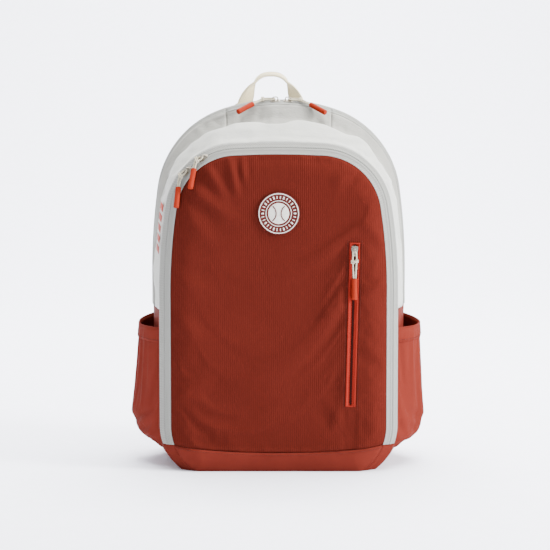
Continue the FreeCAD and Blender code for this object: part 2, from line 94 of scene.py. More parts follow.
# ---- node materials ------------------------------------------------------------------------
class Graph:
    """A material's node graph, with short calls for the nodes that fabric needs."""

    def __init__(self, name, colour, rough, **sockets):
        self.material = bpy.data.materials.new(name)
        self.material.use_nodes = True
        self.nodes, self.links = self.material.node_tree.nodes, self.material.node_tree.links
        self.shader = self.nodes["Principled BSDF"]
        self.shader.inputs["Base Color"].default_value = (*colour, 1)
        self.shader.inputs["Roughness"].default_value = rough
        for key, value in sockets.items():
            self.shader.inputs[key.replace("_", " ")].default_value = value
        self.place = self.nodes.new("ShaderNodeTexCoord").outputs["UV"]

    def node(self, kind, **settings):
        made = self.nodes.new("ShaderNode" + kind)
        for key, value in settings.items():
            setattr(made, key, value)
        return made

    def link(self, value, socket):
        if hasattr(value, "is_linked"):
            self.links.new(value, socket)
        else:
            socket.default_value = value

    def math(self, operation, a, b):
        made = self.node("Math", operation=operation)
        self.link(a, made.inputs[0])
        self.link(b, made.inputs[1])
        return made.outputs[0]

    def stretched(self, x, y, z=1.0, turn=0.0):
        made = self.node("Mapping")
        self.link(self.place, made.inputs["Vector"])
        made.inputs["Scale"].default_value = (x, y, z)
        made.inputs["Rotation"].default_value = (0, 0, turn)
        return made.outputs[0]

    def noise(self, scale, detail=3.0, rough=0.5, vector=None):
        made = self.node("TexNoise")
        self.link(vector if vector is not None else self.place, made.inputs["Vector"])
        made.inputs["Scale"].default_value = scale
        made.inputs["Detail"].default_value = detail
        made.inputs["Roughness"].default_value = rough
        return made.outputs["Fac"]

    def waves(self, pitch, axis, bend=0.0, vector=None):
        """Sine ridges one pitch apart, in metres, across an axis."""
        made = self.node("TexWave", bands_direction=axis)
        self.link(vector if vector is not None else self.place, made.inputs["Vector"])
        made.inputs["Scale"].default_value = math.pi / (10 * pitch)
        made.inputs["Distortion"].default_value = bend
        made.inputs["Detail"].default_value = 1.0
        return made.outputs["Fac"]

    def ramp(self, value, low, high, start=0.0, end=1.0):
        """A colour between low and high, as value goes from start to end."""
        made = self.node("ValToRGB")
        self.link(value, made.inputs["Fac"])
        for element, place, colour in zip(made.color_ramp.elements, (start, end), (low, high)):
            element.position = place
            element.color = (*colour, 1)
        return made.outputs["Color"]

    def tones(self, value, colour, dark, light, start=0.0, end=1.0):
        """The colour made darker and lighter by two factors, as value goes from start to end."""
        return self.ramp(value, shade(colour, dark), shade(colour, light), start, end)

    def blend(self, factor, a, b):
        made = self.node("Mix", data_type="RGBA")
        self.link(factor, made.inputs[0])
        self.link(a, made.inputs[6])
        self.link(b, made.inputs[7])
        return made.outputs[2]

    def colour(self, value):
        self.link(value, self.shader.inputs["Base Color"])

    def rough(self, value):
        self.link(value, self.shader.inputs["Roughness"])

    def uneven_rough(self, value, gain, base):
        """Roughness of base, raised by value times gain."""
        made = self.node("Math", operation="MULTIPLY_ADD")
        self.link(value, made.inputs[0])
        made.inputs[1].default_value = gain
        made.inputs[2].default_value = base
        self.rough(made.outputs[0])

    def bump(self, height, distance, strength=1.0):
        made = self.node("Bump")
        made.inputs["Strength"].default_value = strength
        made.inputs["Distance"].default_value = distance
        self.link(height, made.inputs["Height"])
        if self.shader.inputs["Normal"].is_linked:
            self.links.new(self.shader.inputs["Normal"].links[0].from_socket, made.inputs["Normal"])
        self.links.new(made.outputs["Normal"], self.shader.inputs["Normal"])


def shade(colour, factor):
    """A colour made darker or lighter."""
    return tuple(min(1.0, c * factor) for c in colour)


def twill(name, colour):
    """Ribbed twill: fine upright ribs, crossed by thinner weft, with uneven dye."""
    g = Graph(name, colour, 0.75, Specular_IOR_Level=0.0)
    pitch = 0.0025
    ribs = g.waves(pitch, "X", 0.15)
    weft = g.waves(pitch * 0.7, "Y", 0.3)
    cloud = g.noise(14.0, 3.0)
    thread = g.noise(1.0, 2.0, 0.6, g.stretched(900, 60))
    base = g.tones(cloud, colour, 0.86, 1.12, 0.3, 0.7)
    base = g.blend(0.55, base, g.tones(ribs, colour, 0.62, 1.22))
    base = g.blend(0.3, base, g.tones(thread, colour, 0.8, 1.2, 0.25, 0.75))
    g.colour(base)
    g.uneven_rough(thread, 0.2, 0.5)
    weave = g.math("ADD", ribs, g.math("MULTIPLY", weft, 0.35))
    g.bump(weave, 0.00035, 0.8)
    g.bump(g.noise(60.0, 3.0), 0.0008, 0.35)
    return g.material


def coated(name, colour):
    """Smooth coated cloth: a faint weave under a satin skin, with fine creases."""
    g = Graph(name, colour, 0.42, Specular_IOR_Level=0.002)
    cloud = g.noise(9.0, 4.0)
    crease = g.noise(1.0, 5.0, 0.65, g.stretched(38, 22, turn=0.5))
    weave = g.math("ADD", g.waves(0.0009, "X", 0.2), g.waves(0.0009, "Y", 0.2))
    g.colour(g.tones(cloud, colour, 0.88, 1.12, 0.3, 0.7))
    g.uneven_rough(crease, 0.22, 0.34)
    g.bump(weave, 0.00012, 0.6)
    g.bump(crease, 0.0022, 0.5)
    return g.material


def nylon(name, colour, crumple=0.5):
    """Plain-weave nylon: fine square weave, soft creases, a slight sheen."""
    g = Graph(name, colour, 0.5, Specular_IOR_Level=0.08)
    cloud = g.noise(10.0, 3.0)
    crease = g.noise(1.0, 5.0, 0.62, g.stretched(30, 45, turn=0.3))
    weave = g.math("ADD", g.waves(0.0011, "X", 0.2), g.waves(0.0011, "Y", 0.2))
    base = g.tones(cloud, colour, 0.95, 1.03, 0.3, 0.7)
    g.colour(g.blend(0.16, base, g.tones(weave, colour, 0.7, 1.1, 0.2, 1.6)))
    g.uneven_rough(crease, 0.2, 0.42)
    g.bump(weave, 0.00018, 0.6)
    g.bump(crease, 0.003, crumple)
    return g.material


def tape_cloth(name, colour):
    """Zip tape: a tight herringbone across its length."""
    g = Graph(name, colour, 0.7, Specular_IOR_Level=0.12)
    twist = g.waves(0.0016, "DIAGONAL", 0.4)
    rows = g.waves(0.0011, "Y")
    weave = g.math("ADD", twist, rows)
    g.colour(g.tones(weave, colour, 0.8, 1.06, 0.3, 1.4))
    g.bump(weave, 0.0003, 0.8)
    return g.material


def webbing(name, colour):
    """Webbing: heavy herringbone ridges along the strap."""
    g = Graph(name, colour, 0.72, Specular_IOR_Level=0.12)
    along = g.waves(0.0024, "X")
    picks = g.waves(0.0013, "DIAGONAL", 0.3)
    weave = g.math("ADD", along, g.math("MULTIPLY", picks, 0.7))
    tint = g.noise(60.0, 3.0)
    base = g.tones(weave, colour, 0.72, 1.05, 0.2, 1.4)
    g.colour(g.blend(0.3, base, g.tones(tint, colour, 0.85, 1.05, 0.3, 0.7)))
    g.bump(weave, 0.0006, 0.9)
    return g.material


def plastic(name, colour, rough=0.35, grain=1200.0, depth=0.00008, gloss=0.3):
    """Moulded plastic or rubber with a fine grain."""
    g = Graph(name, colour, rough, Specular_IOR_Level=gloss)
    fine = g.noise(grain, 2.0, 0.5, g.node("TexCoord").outputs["Object"])
    g.colour(g.tones(fine, colour, 0.9, 1.08, 0.3, 0.7))
    g.bump(fine, depth, 0.6)
    return g.material


def metal(name, colour):
    """Plated die-cast metal, a little cloudy."""
    g = Graph(name, colour, 0.28, Metallic=1.0)
    cloud = g.noise(500.0, 3.0, 0.6, g.node("TexCoord").outputs["Object"])
    g.rough(g.ramp(cloud, (0.2, 0.2, 0.2), (0.42, 0.42, 0.42), 0.3, 0.7))
    g.colour(g.tones(cloud, colour, 0.85, 1.05, 0.3, 0.7))
    g.bump(cloud, 0.00004, 0.4)
    return g.material


def spacer_mesh(name, colour):
    """Air mesh: rows of small holes over foam."""
    g = Graph(name, colour, 0.8, Specular_IOR_Level=0.15)
    cells = g.node("TexVoronoi", feature="F1")
    g.link(g.stretched(360, 360), cells.inputs["Vector"])
    cells.inputs["Scale"].default_value = 1.0
    cells.inputs["Randomness"].default_value = 0.08
    holes = cells.outputs["Distance"]
    g.colour(g.tones(holes, colour, 0.35, 1.25, 0.18, 0.42))
    g.bump(g.ramp(holes, (0, 0, 0), (1, 1, 1), 0.15, 0.45), 0.0009, 0.9)
    return g.material


def braid(name, colour):
    """Braided cord: crossing strands round and along it."""
    g = Graph(name, colour, 0.65, Specular_IOR_Level=0.15)
    g.place = g.nodes["Texture Coordinate"].outputs["Object"]
    one = g.waves(0.0011, "DIAGONAL", 0.5)
    other = g.waves(0.0011, "DIAGONAL", 0.5, g.stretched(-1, 1, 1))
    weave = g.math("MAXIMUM", one, other)
    g.colour(g.tones(weave, colour, 0.6, 1.08, 0.1, 0.9))
    g.bump(weave, 0.0004, 0.9)
    return g.material


TERRACOTTA = (0.064, 0.0094, 0.0062)
COATED_RED = (0.104, 0.0158, 0.0104)
OFF_WHITE = (0.42, 0.42, 0.385)
TAPE_GREY = (0.22, 0.22, 0.20)
MAT = {
    "twill": twill("twill_terracotta", TERRACOTTA),
    "coated": coated("coated_terracotta", COATED_RED),
    "white": nylon("nylon_off_white", OFF_WHITE),
    # A darker copy of the off-white nylon, as painted shade: the strip behind the crest and beside the
    # main zip is the same cloth in shadow.
    "white_painted_shade": nylon("nylon_slack", (0.26, 0.256, 0.23), 0.9),
    "tape": tape_cloth("zip_tape_grey", TAPE_GREY),
    "coil": plastic("zip_coil_grey", (0.17, 0.17, 0.155), 0.4),
    "red_tape": tape_cloth("zip_tape_orange", (0.20, 0.0095, 0.0035)),
    "red_coil": plastic("zip_coil_terracotta", (0.022, 0.0032, 0.002), 0.5, 1200.0, 0.00008, 0.04),
    "handle": webbing("webbing_cream", (0.64, 0.55, 0.35)),
    "strap": webbing("webbing_grey", (0.16, 0.16, 0.155)),
    "cord": braid("cord_cream", (0.42, 0.38, 0.28)),
    "sleeve": plastic("sleeve_orange", (0.20, 0.0165, 0.0060), 0.55, 900.0, 0.00012, 0.03),
    "nickel": metal("nickel_plate", (0.26, 0.235, 0.19)),
    "badge": plastic("badge_print", (0.50, 0.48, 0.43), 0.55),
    "disc": plastic("badge_ground", (0.060, 0.0085, 0.006), 0.6, 900.0, 0.0001, 0.12),
    "thread": plastic("thread_terracotta", (0.045, 0.006, 0.004), 0.6, 1200.0, 0.00008, 0.1),
    "white_thread": plastic("thread_off_white", (0.42, 0.42, 0.40), 0.6),
    "lining": nylon("lining_grey", (0.10, 0.10, 0.10)),
    "mesh": spacer_mesh("mesh_charcoal", (0.022, 0.022, 0.024)),
    "binding": tape_cloth("binding_charcoal", (0.014, 0.014, 0.016)),
    "plastic": plastic("plastic_charcoal", (0.014, 0.014, 0.016), 0.32),
    "coral": plastic("print_coral", (0.28, 0.042, 0.026), 0.5, 900.0, 0.0001, 0.03),
    "foam": nylon("foam_cover", (0.30, 0.30, 0.30)),
}


# ---- outlines ------------------------------------------------------------------------------
def shoulder_centre(s):
    """Where a station's right shoulder arc is centred: (x, z), in millimetres."""
    x = s.half - s.side + (s.side - s.shoulder) * math.cos(math.radians(s.lean))
    return x, s.top - s.shoulder - x * math.tan(math.radians(s.crown) / 2)


def looped(points):
    """A line of points with its first one again at its end."""
    points = np.array(points)
    return np.vstack([points, points[:1]])


def run_lengths(points):
    """The length of a line of points up to each of them."""
    return np.concatenate([[0], np.cumsum(np.linalg.norm(np.diff(points, axis=0), axis=1))])


def resampled(row, count):
    """A line of points at even distances."""
    lengths = run_lengths(row)
    places = np.linspace(0, lengths[-1], count)
    return np.column_stack([np.interp(places, lengths, row[:, k]) for k in range(row.shape[1])])


def cubic(a, b, slope_a, slope_b, t):
    """The smooth cubic from a to b with the slopes given at its ends."""
    return (a * (1 + 2 * t) * (1 - t) ** 2 + slope_a * t * (1 - t) ** 2
            + b * t * t * (3 - 2 * t) + slope_b * t * t * (t - 1))


def arc(centre, r, start, end, steps):
    """Points of an arc without its last one."""
    angles = np.radians(np.linspace(start, end, steps + 1)[:-1])
    return np.column_stack([centre[0] + r * np.cos(angles), centre[1] + r * np.sin(angles)])


def outline(s, low=0.0, step=4.0):
    """A station's (x, z) points from its right side at height low, over the top, to its left."""
    x, z = shoulder_centre(s)
    side_z = z - (s.side - s.shoulder) * math.sin(math.radians(s.lean))
    crown_r = s.shoulder + x / math.sin(math.radians(s.crown))
    runs, base = [], max(low, FOOT_RISE)
    if low < FOOT_RISE:
        start = -math.degrees(math.asin((FOOT_RISE - low) / s.foot))
        runs.append(arc((s.half - s.foot, FOOT_RISE), s.foot, start, 0, int(70 / step)))
    line = np.linspace(base, side_z, max(3, int((235 - base) / step)) + 1)[:-1]
    runs.append(np.column_stack([np.full(len(line), s.half), line]))
    runs.append(arc((s.half - s.side, side_z), s.side, 0, s.lean, int(110 / step)))
    runs.append(arc((x, z), s.shoulder, s.lean, 90 - s.crown, int(150 / step)))
    runs.append(arc((0, s.top - crown_r), crown_r, 90 - s.crown, 90, int(60 / step)))
    right = np.vstack(runs)
    left = right[::-1] * [-1, 1]
    return np.vstack([right, [[0, s.top]], left])


def station_at(stations, y):
    """The station between the given ones at depth y, on smooth curves through them."""
    ys = np.array([s.y for s in stations])
    fields = []
    for values in zip(*stations):
        values = np.array(values, float)
        slopes = np.diff(values) / np.diff(ys)
        ends = np.zeros(len(ys))
        for i in range(1, len(ys) - 1):
            a, b = slopes[i - 1], slopes[i]
            ends[i] = 2 * a * b / (a + b) if a * b > 0 else 0.0
        ends[0], ends[-1] = slopes[0], slopes[-1]
        i = min(max(int(np.searchsorted(ys, y) - 1), 0), len(ys) - 2)
        h = ys[i + 1] - ys[i]
        t = (y - ys[i]) / h
        fields.append(cubic(values[i], values[i + 1], ends[i] * h, ends[i + 1] * h, t))
    return Station(*fields)


# ---- meshes --------------------------------------------------------------------------------
def finish_mesh(name, verts, faces, material, uvs=None):
    """A mesh object from points in metres; uvs is one (u, v) in metres for each point."""
    mesh = bpy.data.meshes.new(name)
    mesh.from_pydata([tuple(map(float, v)) for v in verts], [], [tuple(map(int, f)) for f in faces])
    if uvs is not None:
        layer = mesh.uv_layers.new(name="UVMap")
        loops = np.empty(len(mesh.loops), int)
        mesh.loops.foreach_get("vertex_index", loops)
        layer.data.foreach_set("uv", np.asarray(uvs, float)[loops].ravel().astype(np.float32))
    mesh.polygons.foreach_set("use_smooth", [True] * len(mesh.polygons))
    mesh.materials.append(MAT[material])
    mesh.validate()
    obj = bpy.data.objects.new(name, mesh)
    bpy.context.scene.collection.objects.link(obj)
    return obj


def grid_faces(rows, columns, flip=False):
    """Quads of a grid of points."""
    faces = []
    for r in range(rows - 1):
        for c in range(columns - 1):
            a = r * columns + c
            quad = (a, a + 1, a + columns + 1, a + columns)
            faces.append(quad[::-1] if flip else quad)
    return faces


def grid_uvs(points):
    """Lengths along and across a grid of points, in metres."""
    along = np.linalg.norm(np.diff(points, axis=1), axis=2)
    across = np.linalg.norm(np.diff(points, axis=0), axis=2)
    u = np.concatenate([np.zeros((points.shape[0], 1)), np.cumsum(along, axis=1)], axis=1)
    v = np.concatenate([np.zeros((1, points.shape[1])), np.cumsum(across, axis=0)], axis=0)
    middle = points.shape[1] // 2
    return np.stack([u - u[:, middle:middle + 1], v], axis=2).reshape(-1, 2)


def grid_normals(points):
    """Outward normals of a grid whose rows run over the bag from right to left."""
    du = np.gradient(points, axis=1)
    dv = np.gradient(points, axis=0)
    n = np.cross(dv, du)
    n /= np.maximum(np.linalg.norm(n, axis=2, keepdims=True), 1e-12)
    outward = points - [0, 0, 0.2]
    sign = np.sign((n * outward * [1, 0, 1]).sum(axis=2, keepdims=True).sum())
    return n * (sign or 1.0)


def grid(name, points, material, flip=False):
    """A mesh object from a grid of points, (rows, columns, 3), in metres."""
    rows, columns = points.shape[:2]
    return finish_mesh(name, points.reshape(-1, 3), grid_faces(rows, columns, flip), material,
                       grid_uvs(points))


def noise_at(points, width, height, seed):
    """Smooth noise at (x, z) points, with features of about width by height, in millimetres."""
    return np.array([noise.noise(Vector((x / width, z / height, seed))) for x, z in points])


def noise_along(values, size, *seed):
    """Smooth noise for each value, with features of about one size."""
    return np.array([noise.noise(Vector((value / size, *seed))) for value in values])


def field(points, size, seed, stretch=(1, 1, 1)):
    """Smooth noise at each point, with features of about size metres."""
    scaled = points.reshape(-1, 3) * (np.array(stretch) / size)
    values = [noise.noise(Vector(p) + Vector((seed * 3.7, seed * 1.3, seed))) for p in scaled]
    return np.array(values).reshape(points.shape[:-1])


def clipped(points, span):
    """The stretch of each row between two x values, resampled evenly."""
    count = max(4, int((span[1] - span[0]) / 3.0) + 1)
    xs = np.linspace(span[1], span[0], count) * MM
    rows = []
    for row in points:
        top = row[row[:, 2] > 0.3]
        order = np.argsort(top[:, 0])
        z = np.interp(xs, top[order, 0], top[order, 2])
        rows.append(np.column_stack([xs, np.full(count, row[0, 1]), z]))
    return np.array(rows)


def applied(obj):
    """Applies every modifier of an object to its mesh."""
    graph = bpy.context.evaluated_depsgraph_get()
    graph.update()
    mesh = bpy.data.meshes.new_from_object(obj.evaluated_get(graph), depsgraph=graph)
    obj.modifiers.clear()
    old, obj.data = obj.data, mesh
    mesh.name = old.name
    return obj


def thicken(obj, thickness, offset=-1.0):
    """Gives a sheet its thickness, and applies it."""
    solid = obj.modifiers.new("thickness", "SOLIDIFY")
    solid.thickness = thickness
    solid.offset = offset
    solid.use_even_offset = False
    return applied(obj)


def joined(name, parts):
    """Several mesh objects as one."""
    verts, faces, uvs, materials, indices, smooth = [], [], [], [], [], []
    for part in parts:
        mesh, start = part.data, len(verts)
        matrix = part.matrix_world if part.parent is None else part.matrix_basis
        verts += [matrix @ v.co for v in mesh.vertices]
        layer = mesh.uv_layers[0].data if mesh.uv_layers else None
        material = mesh.materials[0]
        if material not in materials:
            materials.append(material)
        for polygon in mesh.polygons:
            faces.append([start + v for v in polygon.vertices])
            uvs += [tuple(layer[i].uv) if layer else (0, 0) for i in polygon.loop_indices]
            indices.append(materials.index(material))
            smooth.append(polygon.use_smooth)
    made = bpy.data.meshes.new(name)
    made.from_pydata(verts, [], faces)
    made.uv_layers.new(name="UVMap").data.foreach_set("uv", np.array(uvs, np.float32).ravel())
    for material in materials:
        made.materials.append(material)
    made.polygons.foreach_set("material_index", indices)
    made.polygons.foreach_set("use_smooth", smooth)
    for part in parts:
        bpy.data.objects.remove(part)
    obj = bpy.data.objects.new(name, made)
    bpy.context.scene.collection.objects.link(obj)
    return obj


def sim(obj, pins, frames, growth, pressure, stiffness, gravity, cap):
    """Runs cloth on a piece with pinned points and keeps its shape; no point moves further than cap."""
    start = np.array([v.co for v in obj.data.vertices])
    group = obj.vertex_groups.new(name="pins")
    for i, weight in pins.items():
        group.add([int(i)], float(weight), "REPLACE")
    cloth = obj.modifiers.new("Cloth", "CLOTH")
    settings = cloth.settings
    settings.quality = 5
    settings.mass = 0.15
    settings.tension_stiffness = settings.compression_stiffness = stiffness
    settings.shear_stiffness = stiffness / 2
    settings.bending_stiffness = 0.6
    settings.air_damping = 2.0
    settings.vertex_group_mass = "pins"
    settings.shrink_min = -growth
    settings.use_pressure = pressure != 0
    settings.uniform_pressure_force = pressure
    settings.effector_weights.gravity = gravity
    cloth.collision_settings.use_collision = False
    cloth.point_cache.frame_start, cloth.point_cache.frame_end = 1, frames
    scene = bpy.context.scene
    for i in range(1, frames + 1):
        scene.frame_set(i)
    graph = bpy.context.evaluated_depsgraph_get()
    moved = obj.evaluated_get(graph).to_mesh()
    end = np.array([v.co for v in moved.vertices])
    obj.evaluated_get(graph).to_mesh_clear()
    obj.modifiers.clear()
    scene.frame_set(1)
    step = end - start
    length = np.linalg.norm(step, axis=1, keepdims=True)
    step *= np.minimum(1.0, cap / np.maximum(length, 1e-9))
    obj.data.vertices.foreach_set("co", (start + step).astype(np.float32).ravel())
    obj.data.update()
    obj.vertex_groups.clear()
    return obj


def border_pins(rows, columns):
    """Full pins round a grid's border that fade over three rings."""
    pins, soft = {}, 3
    for r in range(rows):
        for c in range(columns):
            ring = min(r, c, rows - 1 - r, columns - 1 - c)
            if ring < soft:
                pins[r * columns + c] = 1.0 - ring / soft
    return pins


def dress(obj, body, slot, *nodes):
    """The piece rides on a body and stands for CAD nodes, which it hides. The slot is not used."""
    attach(obj, body)
    if nodes:
        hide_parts(*nodes)
    return obj


# ---- the front panel -----------------------------------------------------------------------
def edge_distance(points, edge):
    """Distance of (x, z) points to a closed line of points, and the nearest place along it."""
    best = np.full(len(points), 1e9)
    near = np.zeros(len(points))
    lengths = run_lengths(edge)
    for i, (a, b) in enumerate(zip(edge, edge[1:])):
        d = b - a
        t = np.clip(((points - a) @ d) / max(d @ d, 1e-9), 0, 1)
        gap = np.linalg.norm(points - (a + t[:, None] * d), axis=1)
        closer = gap < best
        best[closer] = gap[closer]
        near[closer] = lengths[i] + (t * np.linalg.norm(d))[closer]
    return best, near


def seam_line(x):
    """Height of the seam under the front panel, which sags a little in the middle, in mm."""
    return SEAM_Z + 0.6 - 9.0 * (1 - np.minimum(np.abs(x) / 139.0, 1.0) ** 2.2)


# Soft folds of the front panel: ends (x, z), half width and height, in millimetres.
FOLDS = [((-62, 405), (-54, 362), 5, 1.7), ((-47, 406), (-44, 378), 4, 1.3),
         ((-118, 372), (-58, 330), 9, 2.0), ((-126, 345), (-84, 300), 11, 1.6),
         ((-90, 392), (-66, 352), 7, 1.5), ((92, 398), (70, 372), 8, 1.0),
         ((136, 300), (108, 330), 8, 1.6), ((138, 252), (116, 236), 6, 1.4),
         ((84, 232), (52, 204), 12, 2.2), ((86, 268), (60, 250), 9, 1.2),
         ((136, 150), (110, 168), 9, 1.0), ((-134, 96), (-86, 128), 12, 1.6),
         ((-132, 200), (-100, 176), 12, 1.3), ((-60, 52), (10, 88), 14, 1.4),
         ((92, 66), (60, 96), 9, 1.2), ((-130, 250), (-90, 240), 10, 1.2)]


def panel_relief(xz, edge):
    """How far the front panel stands in front of its edge, in millimetres."""
    gap, near = edge_distance(xz, edge)
    height = BULGE * crowned(gap)
    pucker = noise_along(near, 9.0, 3.1, 0) + 0.6 * noise_along(near, 4.5, 7.7, 0)
    strength = 0.6 + 0.9 * np.maximum(0.0, noise_along(near, 70.0, 1.7, 4.0) + 0.2)
    height += 1.35 * pucker * strength * np.exp(-gap / 11.0) * (1 - np.exp(-gap / 1.6))
    for (ax, az), (bx, bz), width, lift in FOLDS:
        a, d = np.array([ax, az]), np.array([bx - ax, bz - az])
        along = ((xz - a) @ d) / (d @ d)
        t = np.clip(along, 0, 1)
        side = xz - (a + t[:, None] * d)
        taper = np.exp(-np.maximum(along - 0.55, 0) ** 2 * 6) * np.exp(-np.minimum(along, 0) ** 2 * 40)
        signed = side @ (np.array([-d[1], d[0]]) / np.linalg.norm(d))
        wave = np.exp(-(signed / width) ** 2) - 0.45 * np.exp(-((signed - 1.7 * width) / width) ** 2)
        height += 2.1 * lift * wave * taper * (1 - np.exp(-gap / 4.0))
    height += 1.4 * noise_at(xz, 75.0, 95.0, 2.0) * np.clip(gap / 40.0, 0, 1)
    across, along = slot_frame(xz)
    clear = BULGE - 0.5 + 0.5 * np.maximum(np.abs(across) - 8.0, 0) + 0.5 * np.maximum(-4.0 - along, 0)
    return np.minimum(height, np.minimum(BULGE + 4.2, clear))


def slot_frame(xz):
    """(across, along) of points from the top of the pocket zip, in millimetres."""
    dx, dz = xz[:, 0] - POCKET_ZIP_X, xz[:, 1] - POCKET_ZIP_HIGH
    c, s = math.cos(POCKET_ZIP_LEAN), math.sin(POCKET_ZIP_LEAN)
    return dx * c - dz * s, -dz * c - dx * s


def slot_point(across, along, depth):
    """A point of the pocket zip, in metres: depth is behind the face."""
    c, s = math.cos(POCKET_ZIP_LEAN), math.sin(POCKET_ZIP_LEAN)
    x = POCKET_ZIP_X + across * c - along * s
    z = POCKET_ZIP_HIGH - across * s - along * c
    return Vector((x, FACE_Y + depth, z)) * MM


SLOT_LENGTH = POCKET_ZIP_HIGH - POCKET_ZIP_LOW
SLOT_HALF = 5.5


def lattice(low, high, pitch):
    """Points of a triangle lattice between two (x, z) corners, in millimetres."""
    xs, zs = np.meshgrid(np.arange(low[0], high[0], pitch), np.arange(low[1], high[1], pitch * 0.866))
    xs = xs + (np.arange(xs.shape[0]) % 2)[:, None] * pitch / 2
    return np.column_stack([xs.ravel(), zs.ravel()])


def triangulated(closed, inner):
    """Points and triangles of a closed outline and the points inside it."""
    ring = [(i, (i + 1) % len(closed)) for i in range(len(closed))]
    points = [Vector(p) for p in np.vstack([closed, inner])]
    out = delaunay_2d_cdt(points, ring, [], 1, 1e-4)
    return np.array([tuple(v) for v in out[0]]), [tuple(f) for f in out[2]]


def filled(closed, pitch):
    """Points, triangles and distances to the edge inside a closed outline, in millimetres."""
    loop = looped(closed)
    inner = lattice(closed.min(axis=0), closed.max(axis=0), pitch)
    gap, _ = edge_distance(inner, loop)
    inner = inner[np.array([winding(p, loop) for p in inner]) & (gap > pitch * 0.5)]
    xz, faces = triangulated(closed, inner)
    return xz, faces, edge_distance(xz, loop)[0]


def crowned(gap):
    """How full a panel stands at a distance from its edge: 0 at the edge and 1 well inside it."""
    return 1 - (1 - np.clip(gap / 30.0, 0, 1)) ** 2.3


def build_front_panel():
    """The twill panel: a fine triangle mesh with a groove for its zip, finished by cloth."""
    edge = outline(PANEL, SEAM_Z + 0.5, 3.0)
    bottom_x = np.linspace(edge[-1, 0], edge[0, 0], 70)[1:-1]
    bottom = np.column_stack([bottom_x, seam_line(bottom_x)])
    closed = np.vstack([edge, bottom])
    loop = looped(closed)
    pitch = 3.1
    inner = lattice((-140, 26), (140, 414), pitch)
    gap, _ = edge_distance(inner, loop)
    inside = np.array([winding(p, loop) for p in inner]) & (gap > pitch * 0.55)
    across, along = slot_frame(inner)
    near_slot = (np.abs(across) < SLOT_HALF + 3) & (along > -4) & (along < SLOT_LENGTH + 4)
    inner = inner[inside & ~near_slot]
    rim = []
    sides = (-8.0, -6.3, -5.5, -4.6, 0.0, 4.6, 5.5, 6.3, 8.0)
    rim = [(a, l) for a in sides for l in np.arange(-3.5, SLOT_LENGTH + 3.6, 2.6)]
    ends = (-0.8, 0.0, 0.8, SLOT_LENGTH - 0.8, SLOT_LENGTH, SLOT_LENGTH + 0.8)
    rim += [(a, l) for l in ends for a in np.arange(-7.4, 7.5, 1.45)]
    rim = [slot_point(a, l, 0) / MM for a, l in rim]
    xz, faces = triangulated(closed, np.vstack([inner, [(p.x, p.z) for p in rim]]))
    height = panel_relief(xz, looped(outline(PANEL, 0.0, 3.0)))
    seam_gap, _ = edge_distance(xz, loop)
    above_seam = xz[:, 1] - seam_line(xz[:, 0])
    puckers = noise_along(xz[:, 0], 7.0, 2.0, 5.0)
    height += 0.5 * puckers * np.exp(-above_seam / 6.0) - 1.2 * np.exp(-above_seam / 1.6)
    across, along = slot_frame(xz)
    over = np.maximum(np.abs(across) - SLOT_HALF, np.maximum(-along, along - SLOT_LENGTH))
    near = np.clip(1 - over / 14.0, 0, 1) ** 2
    height = height * (1 - near) + (BULGE + 0.4 * noise_along(along, 16.0, 5.0, 1.0)) * near
    height = np.where(over < 0.2, BULGE - 3.4, height)
    verts = np.column_stack([xz[:, 0], PANEL.y - height, xz[:, 1]]) * MM
    obj = finish_mesh("panel_twill", verts, [f[::-1] for f in faces], "twill", xz * MM)
    pins = {}
    for i, (from_seam, from_slot) in enumerate(zip(seam_gap, over)):
        hold = max(1 - from_seam / 5.0, 1 - max(from_slot, 0) / 7.0, 0.0)
        if hold > 0:
            pins[i] = min(1.0, hold * 1.4)
    sim(obj, pins, frames=16, growth=0.010, pressure=0.8, stiffness=10.0, gravity=0.15, cap=0.0022)
    level = obj.modifiers.new("smooth", "SMOOTH")
    level.factor, level.iterations = 0.3, 1
    applied(obj)
    thicken(obj, 0.0011, 1.0)
    return dress(obj, "flap", "terracotta_twill", "front_panel")


def winding(point, loop):
    """Whether a point is inside a closed line."""
    x, z = point
    a, b = loop[:-1], loop[1:]
    crosses = (a[:, 1] > z) != (b[:, 1] > z)
    with np.errstate(divide="ignore", invalid="ignore"):
        at = a[:, 0] + (z - a[:, 1]) * (b[:, 0] - a[:, 0]) / (b[:, 1] - a[:, 1])
    return bool(np.count_nonzero(crosses & (x < at)) % 2)


# ---- small hardware shapes -----------------------------------------------------------------
def tube(name, points, radius, material, sides, closed=False):
    """A round tube along points, in metres; radius is a number or one for each point."""
    points = [Vector(p) for p in points]
    radii = radius if hasattr(radius, "__len__") else [radius] * len(points)
    verts, faces, uvs = [], [], []
    count, length, up = len(points), 0.0, None
    for i, p in enumerate(points):
        before = points[i - 1] if i or closed else p
        after = points[(i + 1) % count] if i < count - 1 or closed else p
        ahead = (after - before).normalized()
        if up is None:
            up = ahead.orthogonal().normalized()
        up = (up - ahead * up.dot(ahead)).normalized()
        side = ahead.cross(up)
        length += (p - points[i - 1]).length if i else 0.0
        for k in range(sides):
            angle = 2 * math.pi * k / sides
            verts.append(p + (up * math.cos(angle) + side * math.sin(angle)) * radii[i])
            uvs.append((k / sides * 2 * math.pi * radii[i], length))
    rings = count if closed else count - 1
    for r in range(rings):
        for k in range(sides):
            a, b = r * sides + k, r * sides + (k + 1) % sides
            c, d = (r + 1) % count * sides + (k + 1) % sides, (r + 1) % count * sides + k
            faces.append((a, b, c, d))
    if not closed:
        faces.append(tuple(range(sides))[::-1])
        faces.append(tuple((count - 1) * sides + k for k in range(sides)))
    return finish_mesh(name, verts, faces, material, uvs)


def ring_faces(rings, count):
    """Quads between rings of count points that follow one another."""
    faces = []
    for r in range(rings - 1):
        for k in range(count):
            a, b = r * count + k, r * count + (k + 1) % count
            faces.append((a, b, b + count, a + count))
    return faces


